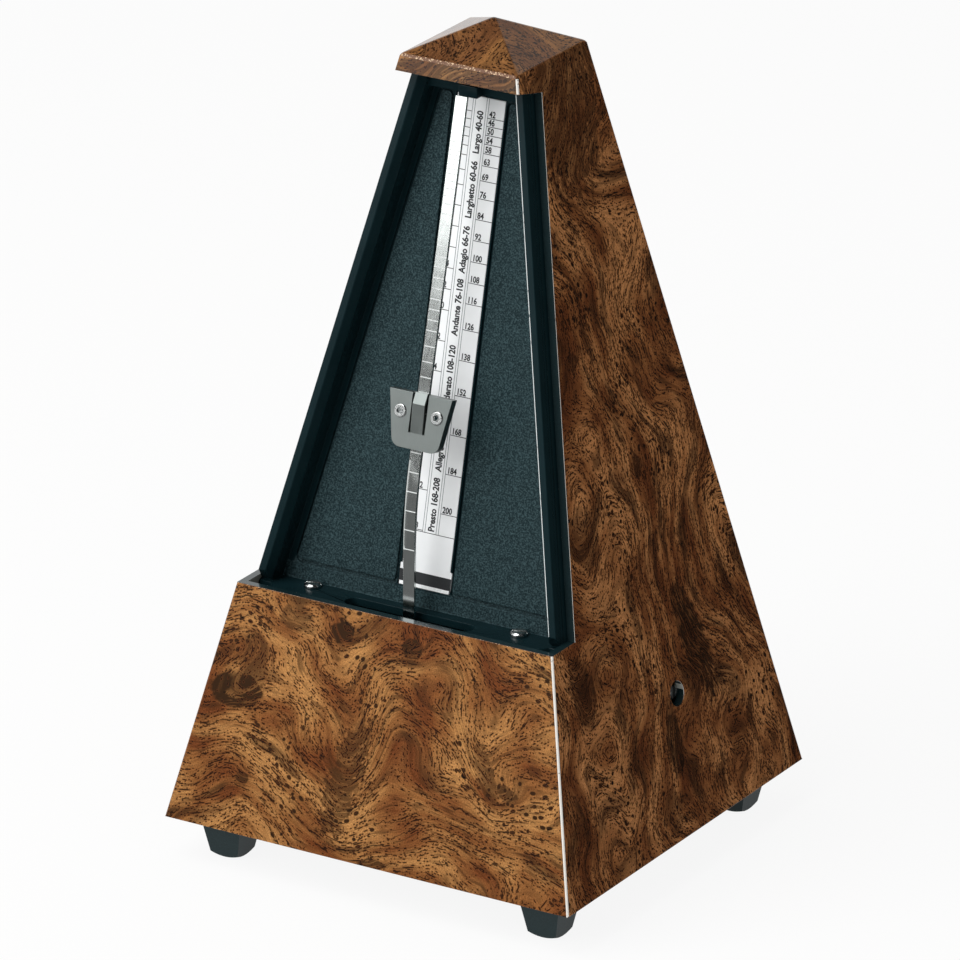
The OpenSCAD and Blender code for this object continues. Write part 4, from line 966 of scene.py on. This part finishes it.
@dataclass
class Studio:
    """Pale floor, soft lamps and the camera; lengths in metres, angles in degrees."""

    azimuth: float = 30.877
    elevation: float = 21.366
    roll: float = 0.543
    distance: float = 2.31774
    aim_across: float = -0.002309
    aim_height: float = 0.09448
    lens: float = 350.04
    floor_front: float = 0.17
    room_front: float = 0.1
    room_side: float = 0.03
    fill: float = 0.36
    paper_white: float = 0.9

    def camera(self) -> None:
        """Sets the camera at the viewing angle."""
        az, el, roll = radians(self.azimuth), radians(self.elevation), radians(self.roll)
        right = Vector((cos(az), sin(az), 0))
        back = Vector((sin(az) * cos(el), -cos(az) * cos(el), sin(el)))
        up = back.cross(right)
        across = cos(roll) * right + sin(roll) * up
        upright = -sin(roll) * right + cos(roll) * up
        spot = Vector((0, 0, self.aim_height)) + across * self.aim_across + back * self.distance
        data = bpy.data.cameras.new("camera")
        data.lens = self.lens
        data.sensor_width = 36
        data.clip_start = 0.05
        data.clip_end = 50
        camera = bpy.data.objects.new("camera", data)
        bpy.context.scene.collection.objects.link(camera)
        turn = Matrix((across, upright, back)).transposed().to_4x4()
        camera.matrix_world = Matrix.Translation(spot) @ turn
        bpy.context.scene.camera = camera

    def lamps(self) -> None:
        """Sets the lamps."""
        for name, spot, aim, size, radiance in LAMPS:
            data = bpy.data.lights.new(name, "AREA")
            data.shape = "RECTANGLE"
            data.size, data.size_y = size
            data.energy = radiance * pi * size[0] * size[1]
            lamp = bpy.data.objects.new(name, data)
            bpy.context.scene.collection.objects.link(lamp)
            turn = (Vector(aim) - Vector(spot)).to_track_quat("-Z", "Y")
            lamp.matrix_world = Matrix.Translation(spot) @ turn.to_matrix().to_4x4()

    def card(self, name: str, corners: list[tuple[float, float, float]], level: float) -> None:
        """Adds a dim card that only shows in reflections, as the dark side of the room does.

        Args:
            name: Name of the card.
            corners: Its four corners.
            level: Its brightness, where 1 is white.
        """
        mesh = bpy.data.meshes.new(name)
        mesh.from_pydata(corners, [], [(0, 1, 2, 3)])
        card = new_piece(name, mesh)
        material = bpy.data.materials.new(name)
        tree = blank(material)
        glow = put(tree, "ShaderNodeEmission", {"Color": WHITE, "Strength": level})
        put(tree, "ShaderNodeOutputMaterial", {"Surface": glow})
        mesh.materials.append(material)
        for sight in ("camera", "diffuse", "transmission", "volume_scatter", "shadow"):
            setattr(card, "visible_" + sight, False)

    def cards(self) -> None:
        """Dims the reflections of the floor in front, and of the room on the right."""
        low, near, far = 0.0004, 0.075, 3
        front = [(-far, -far, low), (far, -far, low), (far, -near, low), (-near, -near, low)]
        right = [(near, -near, low), (far, -near, low), (far, far, low), (near, far, low)]
        first, last, top = (0.75, -0.3), (0.1, 0.8), 0.9
        screen = [(*first, 0), (*last, 0), (*last, top), (*first, top)]
        self.card("front_card", front, self.floor_front)
        self.card("right_card", right, self.room_side)
        self.card("right_screen", screen, self.room_side)

    def sight(self, tree: Tree) -> tuple[Socket, Node]:
        """Adds the nodes that tell how a surface is seen.

        Args:
            tree: Node tree that gets the nodes.

        Returns:
            Socket that is 1 for the camera, and node that is 1 for mirrored and passed light too.
        """
        path = put(tree, "ShaderNodeLightPath")
        straight = path.outputs["Is Camera Ray"]
        seen = maths(tree, "MAXIMUM", straight, path.outputs["Is Glossy Ray"])
        return straight, maths(tree, "MAXIMUM", seen, path.outputs["Is Transmission Ray"])

    def floor(self) -> None:
        """Lays the pale floor, white where it is seen, which keeps the object's shadow."""
        shape = bmesh.new()
        bmesh.ops.create_grid(shape, x_segments=1, y_segments=1, size=8.0)
        floor = new_piece("floor", shape)
        material = bpy.data.materials.new("pale_floor")
        tree = blank(material)
        share = maths(tree, "MULTIPLY", self.sight(tree)[1], self.paper_white)
        paper = put(tree, "ShaderNodeBsdfDiffuse", {"Color": linear("#f4f4f3")})
        glow = put(tree, "ShaderNodeEmission", {"Color": WHITE, "Strength": 1.0})
        mixed = put(tree, "ShaderNodeMixShader", {0: share, 1: paper, 2: glow})
        put(tree, "ShaderNodeOutputMaterial", {"Surface": mixed})
        floor.data.materials.append(material)

    def room(self) -> None:
        """Makes the world white behind the object, dim in front of it, and a soft fill otherwise."""
        world = bpy.data.worlds.new("room")
        bpy.context.scene.world = world
        tree = blank(world)
        straight, seen = self.sight(tree)
        way = put(tree, "ShaderNodeTexCoord").outputs["Generated"]
        x, y, z = put(tree, "ShaderNodeSeparateXYZ", {0: way}).outputs
        behind = maths(tree, "MULTIPLY_ADD", x, -0.6, y)
        shown = ranged(tree, behind, (-0.2, 0.15), (self.room_front, 1.0), smooth=True)
        low = ranged(tree, z, (0.45, 0.75), (1.0, self.room_front), smooth=True)
        shown = maths(tree, "MULTIPLY", shown, low)
        level = put(tree, "ShaderNodeMix", {"Factor": seen, 2: self.fill, 3: shown})
        level = put(tree, "ShaderNodeMix", {"Factor": straight, 2: level, 3: 1.0})
        sky = put(tree, "ShaderNodeBackground", {"Color": WHITE, "Strength": level})
        put(tree, "ShaderNodeOutputWorld", {"Surface": sky})

    def build(self) -> None:
        """Sets up the whole studio."""
        bpy.context.scene.view_settings.view_transform = "Standard"
        for step in (self.camera, self.lamps, self.cards, self.floor, self.room):
            step()


class Bar(NamedTuple):
    """One bar: middle in metres, length and width in millimetres, and its plane's turn about X."""

    spot: Vector
    length: float
    width: float
    tilt: float


@dataclass
class BarRow:
    """A row of thin printed or scored bars on a leaning plane, laid by a geometry node tree."""

    name: str
    thick: float = 0.03

    def tree(self) -> Tree:
        """Builds the node tree that puts a bar on every point.

        Returns:
            The node group, with inputs Geometry, Thickness and Material.
        """
        if "bar_row" in bpy.data.node_groups:
            return bpy.data.node_groups["bar_row"]
        group = bpy.data.node_groups.new("bar_row", "GeometryNodeTree")
        for name, kind in (("Geometry", "Geometry"), ("Thickness", "Float"), ("Material", "Material")):
            group.interface.new_socket(name, in_out="INPUT", socket_type="NodeSocket" + kind)
        group.interface.new_socket("Geometry", in_out="OUTPUT", socket_type="NodeSocketGeometry")
        given = put(group, "NodeGroupInput").outputs
        size = put(group, "GeometryNodeInputNamedAttribute", {"Name": "bar_size"}, data_type="FLOAT_VECTOR")
        length, width, tilt = put(group, "ShaderNodeSeparateXYZ", {0: size}).outputs
        scaled = put(group, "ShaderNodeCombineXYZ", {0: length, 1: width, 2: given["Thickness"]})
        turn = put(group, "ShaderNodeCombineXYZ", {0: tilt})
        bar = put(group, "GeometryNodeMeshCube", {"Size": (1, 1, 1)})
        laid = put(group, "GeometryNodeInstanceOnPoints", {"Points": given["Geometry"], "Instance": bar,
                                                           "Rotation": turn, "Scale": scaled})
        real = put(group, "GeometryNodeRealizeInstances", {0: laid})
        inked = put(group, "GeometryNodeSetMaterial", {"Geometry": real, "Material": given["Material"]})
        put(group, "NodeGroupOutput", {0: inked})
        return group

    def lay(self, bars: list[Bar], finish: Finish) -> Piece:
        """Lays the bars.

        Args:
            bars: Bars of the row.
            finish: Finish of the bars.

        Returns:
            The bars as one plain piece.
        """
        mesh = bpy.data.meshes.new(self.name)
        mesh.from_pydata([tuple(bar.spot) for bar in bars], [], [])
        sizes = mesh.attributes.new("bar_size", "FLOAT_VECTOR", "POINT")
        for item, bar in zip(sizes.data, bars):
            item.vector = (bar.length * MM, bar.width * MM, bar.tilt)
        piece = new_piece(self.name, mesh)
        group = self.tree()
        modifier = piece.modifiers.new("bars", "NODES")
        modifier.node_group = group
        ids = {item.name: item.identifier for item in group.interface.items_tree
               if item.in_out == "INPUT" and item.socket_type != "NodeSocketGeometry"}
        modifier[ids["Thickness"]] = self.thick * MM
        modifier[ids["Material"]] = finish.material()
        return settle(piece)


@dataclass
class Lettering:
    """Printed numbers and words, gathered into one mesh."""

    name: str
    thick: float = 0.03
    capital: float = 0.682

    def __post_init__(self) -> None:
        """Starts with an empty mesh."""
        self.shape = bmesh.new()

    def write(self, text: str, height: float, place: Matrix, narrow: float = 0.83,
              bold: float = 0.028) -> None:
        """Adds one line of lettering.

        Args:
            text: What it says.
            height: Height of the capitals in millimetres.
            place: Matrix of its plane and start.
            narrow: Width of the letters as a share of the font's own.
            bold: Growth of every stroke's side as a share of the font size.
        """
        curve = bpy.data.curves.new("line", "FONT")
        curve.body = text
        curve.resolution_u = 3
        size = height / (self.capital + 2 * bold)
        curve.offset = bold
        curve.extrude = self.thick / size / 2
        holder = bpy.data.objects.new("line", curve)
        bpy.context.scene.collection.objects.link(holder)
        bpy.context.view_layer.update()
        mesh = bpy.data.meshes.new_from_object(holder)
        mesh.transform(place @ Matrix.Diagonal((size * narrow * MM, size * MM, size * MM, 1)))
        self.shape.from_mesh(mesh)
        bpy.data.objects.remove(holder)
        bpy.data.curves.remove(curve)
        bpy.data.meshes.remove(mesh)

    def finish(self, finish: Finish) -> Piece:
        """Makes the gathered lettering one piece.

        Args:
            finish: Ink of the lettering.

        Returns:
            The new piece.
        """
        bmesh.ops.remove_doubles(self.shape, verts=self.shape.verts, dist=0.0005 * MM)
        piece = new_piece(self.name, self.shape)
        dress(piece, finish)
        return piece


@dataclass
class Casing:
    """Leaning four-sided casing in burl film, grey and raw inside."""

    edge: float = 0.5
    window_edge: float = 0.1
    segments: int = 3

    def build(self) -> None:
        """Builds and dresses the casing, with the window's edges rounded less than the film's."""
        shape = node_shape("casing")
        weight = shape.edges.layers.float.new("bevel_weight_edge")
        least_turn = radians(8)
        for edge in shape.edges:
            if len(edge.link_faces) != 2 or edge.calc_face_angle(0) < least_turn:
                continue
            outer = [self.side_of(face.calc_center_median(), face.normal) is not None
                     for face in edge.link_faces]
            if all(outer):
                edge[weight] = 1.0
            elif any(outer):
                edge[weight] = self.window_edge / self.edge
        piece = bevelled(new_piece("burl_casing", shape), self.edge, self.segments, limit_method="WEIGHT")
        self.dress(piece)
        stand_in(piece, "casing", "case")

    def side_of(self, middle: Vector, normal: Vector) -> tuple[Side, bool] | None:
        """Finds the outer face that a mesh face belongs to.

        Args:
            middle: Middle of the mesh face, in metres.
            normal: Its normal.

        Returns:
            Its side and whether it is on the roof, or None on an inner or cut face.
        """
        least_facing, most_off = 0.6, 0.45 * MM
        best: tuple[float, Side, bool] | None = None
        for side in Side:
            for roof in (False, True):
                point, out = FORM.roof_plane(side) if roof else FORM.wall_plane(side)
                facing = normal.dot(out)
                if facing > least_facing and abs((middle - point).dot(out)) < most_off:
                    if best is None or facing > best[0]:
                        best = (facing, side, roof)
        return None if best is None else (best[1], best[2])

    def finish_of(self, normal: Vector, found: tuple[Side, bool] | None) -> Finish:
        """Chooses the finish of a mesh face.

        Args:
            normal: Its normal.
            found: Its side and whether it is on the roof, or None on an inner or cut face.

        Returns:
            The film of its side, a painted edge highlight between two sides, or unfilmed moulding.
        """
        if found is None:
            planes = [plane(side)[1] for side in Side for plane in (FORM.wall_plane, FORM.roof_plane)]
            if normal.z > 0.99:
                return LEVEL_CUT
            return RAW_ABS if any(out.dot(normal) < -0.97 for out in planes) else CUT_ABS
        front, right = (FORM.wall_plane(side)[1].dot(normal) for side in (Side.FRONT, Side.RIGHT))
        roof = FORM.roof_plane(Side.FRONT)[1].dot(normal)
        # painted highlight on the rounded front-right corner
        if min(front, right) > 0.25 and normal.z < 0.4:
            return CORNER_HIGHLIGHT
        # painted highlight in spots along the front eaves
        if min(front, roof) > 0.35 and max(front, roof) < 0.985 and abs(normal.x) < 0.2:
            return EAVES_HIGHLIGHT
        return ROOF_FILM if found[1] else WALL_FILMS[found[0]]

    def dress(self, piece: Piece) -> None:
        """Lays the film on the outer faces, each mapped in its own plane.

        Args:
            piece: The casing's mesh piece.
        """
        mesh = piece.data
        mesh.materials.clear()
        places: dict[str, int] = {}
        for finish in (*WALL_FILMS.values(), ROOF_FILM, RAW_ABS, CUT_ABS, CORNER_HIGHLIGHT, EAVES_HIGHLIGHT, LEVEL_CUT):
            places[finish.name] = len(places)
            mesh.materials.append(finish.material())
        layer = mesh.uv_layers.new(name="face_mm")
        for polygon in mesh.polygons:
            found = self.side_of(polygon.center, polygon.normal)
            polygon.material_index = places[self.finish_of(polygon.normal, found).name]
            side, roof = found or (Side.FRONT, False)
            out_x, out_y = side.value
            slope = atan(FORM.roof_rise / (FORM.eaves_w / 2)) if roof else FORM.lean
            base = (FORM.wall_h if roof else 0.0) + FORM.foot_h
            for loop in polygon.loop_indices:
                spot = mesh.vertices[mesh.loops[loop].vertex_index].co
                across = spot.y * out_x - spot.x * out_y
                up = (spot.z - base * MM) / (sin(slope) if roof else cos(slope))
                layer.data[loop].uv = (across, up)


@dataclass
class FaceFrame:
    """Black face frame with its grained panels, the scale plate and their print.

    Lengths are in millimetres. The tempo law's values are those of a weight sliding on a rod: the
    pivot's height, the reach at which the bob balances it, the inertia and the beat's factor.
    """

    scale_half: float = 6.85
    scale_t: float = 0.5
    scale_lift: float = 0.03
    rail_in: float = 4.2
    rail_d: float = 5.5
    inner_line: float = 1.6
    outer_line: float = 2.25
    line_w: float = 0.17
    rule_w: float = 0.13
    end_w: float = 0.16
    rules_top: float = 185.0
    number_h: float = 1.6
    word_h: float = 1.8
    label_top: float = 68.2
    label_foot: float = 64.4
    band_w: float = 14.75
    strip_w: float = 14.3
    strip_h: float = 0.9
    pivot: float = 36.0
    balance: float = 155.5
    inertia: float = 11461.0
    beat_factor: float = 2253.0
    frame_edge: Rounding = Rounding(0.2, 28.0, 2, pierced=True)
    plate_edge: Rounding = Rounding(0.08, 40.0, 1)
    screw_edge: Rounding = Rounding(0.12, 40.0, 2)

    def height_of(self, tempo: float) -> float:
        """Height of a tempo's line, from the pendulum law of a weight sliding on a rod.

        Args:
            tempo: Beats in a minute.

        Returns:
            Height above the casing's lower edge in millimetres.
        """
        low, high = 40.0, 190.0
        for _ in range(40):
            z = (low + high) / 2
            reach = z - self.pivot
            beats = self.beat_factor * sqrt(max(self.balance - reach, 0.0) / (self.inertia + reach * reach))
            low, high = (z, high) if beats > tempo else (low, z)
        return z

    def tempos(self) -> list[int]:
        """Lists the tempos of the scale, whose steps widen from 2 to 8 beats."""
        steps = [(40, 60, 2), (60, 72, 3), (72, 120, 4), (120, 144, 6), (144, 209, 8)]
        return [tempo for first, end, step in steps for tempo in range(first, end, step)]

    def build(self) -> None:
        """Builds the frame, the plate and the print on it."""
        face = skin("face_frame", "black_face_frame", self.frame_edge, GRAINED_ABS, "case")
        self.shine_edges(face)
        skin("scale_plate", "printed_scale", self.plate_edge, PLATE, "case")
        for piece in self.print_scale():
            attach(piece, "case")
        for screws in ("frame_screws", "base_screws"):
            skin(screws, "bright_" + screws, self.screw_edge, BRIGHT_STEEL, "case")

    def shine_edges(self, piece: Piece) -> None:
        """Paints a highlight, a bright line, on the right rail's rounded inner front edge.

        Args:
            piece: The face frame's mesh piece.
        """
        reach = 0.5
        piece.data.materials.append(RAIL_EDGE_HIGHLIGHT.material())
        for polygon in piece.data.polygons:
            spot = polygon.center / MM
            half = FORM.half_at(spot.z - FORM.foot_h)
            off = abs(half - abs(spot.x) - self.rail_in) + abs(spot.y + half - self.rail_d)
            if off < reach and 0.25 < -polygon.normal.x < 0.8:
                polygon.material_index = 1

    def spot(self, x: float, z: float, lift: float = 0.0) -> Matrix:
        """Place on the scale plate's front."""
        return FORM.on_face(FORM.groove_floor - self.scale_t, z, x, self.scale_lift / 2 + lift)

    def bar(self, x: float, z: float, length: float, width: float, lift: float = 0.0) -> Bar:
        """Bar on the scale plate's front."""
        return Bar(self.spot(x, z, lift).translation, length, width, pi / 2 - FORM.lean)

    def upright(self, x: float, low: float, high: float, length: float) -> Bar:
        """Bar between two heights on the scale plate's front."""
        return self.bar(x, (low + high) / 2, length, (high - low) / cos(FORM.lean))

    def print_scale(self) -> list[Piece]:
        """Prints lines, numbers and words on the plate.

        Returns:
            The printed pieces.
        """
        numbers = Lettering("tempo_numbers")
        lines: list[Bar] = []
        length = self.scale_half - self.outer_line
        middle = (self.scale_half + self.outer_line) / 2
        for first, x, start in ((0, -middle, 0.45 - self.scale_half), (1, middle, 0.4 + self.outer_line)):
            for tempo in self.tempos()[first::2]:
                z = self.height_of(tempo)
                lines.append(self.bar(x, z, length, self.line_w))
                numbers.write(str(tempo), self.number_h, self.spot(start, z + 0.32))
        foot = self.height_of(208) - 0.35
        lines.append(self.bar(0, foot, 2 * self.scale_half, self.end_w))
        words = {"Largo 40-60": 171.3, "Larghetto 60-66": 155.6, "Adagio 66-76": 142.2,
                 "Andante 76-108": 126.9, "Moderato 108-120": 108.3, "Allegro 120-168": 93.5,
                 "Presto 168-208": 78.6}
        for word, z in words.items():
            place = self.spot(0.9, z) @ Matrix.Rotation(pi / 2, 4, "Z")
            numbers.write(word, self.word_h, place, narrow=0.905, bold=0.034)
        rules = [self.upright(x, foot, self.rules_top, self.rule_w)
                 for x in (-self.outer_line, -self.inner_line, self.inner_line, self.outer_line)]
        band = self.upright(0, self.label_foot, self.label_top, self.band_w)
        strip = self.bar(0, self.label_foot + self.strip_h / 2, self.strip_w, self.strip_h, lift=0.02)
        return [
            numbers.finish(BLACK_INK),
            BarRow("tempo_lines").lay(lines, BLACK_INK),
            BarRow("column_rules").lay(rules, GREY_INK),
            BarRow("label_band").lay([band], BLACK_INK),
            BarRow("label_strip", 0.05).lay([strip], WHITE_INK),
        ]


@dataclass
class Pendulum:
    """Steel rod with its scored marks, hub, verge and bob; lengths in millimetres."""

    face: FaceFrame
    rod_half: float = 1.6
    rod_front: float = -38.2
    lean_deg: float = 13.134
    bend_z: float = 88.5
    bend_r: float = 100.0
    mark_drop: float = 1.2
    mark_in: float = 0.25
    mark_w: float = 0.26
    mark_t: float = 0.05
    rod_edge: Rounding = Rounding(0.12, 50.0, 2)

    def front_at(self, z: float) -> tuple[float, float]:
        """Finds the rod's front face.

        Args:
            z: Height above the casing's lower edge.

        Returns:
            Its y and its lean in radians.
        """
        lean = radians(self.lean_deg)
        start = self.bend_z - self.bend_r * tan(lean / 2)
        if z > start + self.bend_r * sin(lean):
            return self.rod_front + (z - self.bend_z) * tan(lean), lean
        turn = asin(max(z - start, 0.0) / self.bend_r)
        return self.rod_front + self.bend_r * (1 - cos(turn)), turn

    def build(self) -> None:
        """Builds and dresses the pendulum, with a mark on the rod for every tempo of the scale."""
        skin("pendulum_rod", "steel_rod", self.rod_edge, SPRING_STEEL, "pendulum")
        marks = []
        for tempo in self.face.tempos():
            z = self.face.height_of(tempo) - self.mark_drop
            y, lean = self.front_at(z)
            spot = Vector((0, y, z + FORM.foot_h)) * MM
            marks.append(Bar(spot, 2 * self.rod_half - self.mark_in, self.mark_w, pi / 2 - lean))
        row = BarRow("rod_marks", self.mark_t).lay(marks, MARK)
        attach(row, "pendulum")
        for node in ("hub_nut", "verge_arbor", "front_pallet", "back_pallet", "bob_rivet"):
            dress_node(node, STEEL)
        dress_node("rod_hub", BRASS)
        dress_node("bob", IRON)


@dataclass
class SlidingWeight:
    """Two-plate steel weight on the rod, with its spring tongue and eyelets."""

    plate_edge: Rounding = Rounding(0.22, 30.0, 3)
    eyelet_edge: Rounding = Rounding(0.1, 30.0, 2)

    def build(self) -> None:
        """Builds and dresses the weight."""
        for node in ("weight_plate", "weight_body"):
            skin(node, "satin_" + node, self.plate_edge, SATIN_STEEL, "weight")
        skin("weight_eyelets", "bright_eyelets", self.eyelet_edge, BRIGHT_STEEL, "weight")


@dataclass
class Feet:
    """Base plate and four moulded rubber feet."""

    foot_edge: Rounding = Rounding(0.45, 30.0, 3)
    base_edge: Rounding = Rounding(0.3, 40.0, 2)

    def build(self) -> None:
        """Builds and dresses the feet and the base plate."""
        for node in ("foot_front_left", "foot_front_right", "foot_back_left", "foot_back_right"):
            skin(node, "rubber_" + node, self.foot_edge, RUBBER, "case")
        skin("base_plate", "black_base_plate", self.base_edge, POLISHED_ABS, "case")


@dataclass
class Movement:
    """Clockwork: plates, wheels, arbors, spring and screws."""

    def build(self) -> None:
        """Dresses every node of the clockwork in its own metal."""
        finishes = {
            BRASS: ("inner_plate", "outer_plate", "pillars", "front_cock", "back_cock", "arbor_bushes",
                    "barrel_drum", "great_wheel", "second_wheel", "crown_wheel"),
            BRIGHT_STEEL: ("winding_arbor",),
            STEEL: ("ratchet_wheel", "click", "second_arbor", "escape_arbor", "plate_screws",
                    "movement_screws", "cock_screws", "click_screws"),
            BLUED: ("mainspring", "click_spring"),
        }
        for finish, nodes in finishes.items():
            for node in nodes:
                dress_node(node, finish)


def main() -> None:
    """Builds the studio and every sub-assembly in order."""
    logging.basicConfig(level=logging.INFO, format="%(message)s")
    face = FaceFrame()
    for part in (Studio(), Feet(), Casing(), face, Pendulum(face), SlidingWeight(), Movement()):
        part.build()
        LOG.info("%s ready", type(part).__name__)


if __name__ == "__main__":
    main()
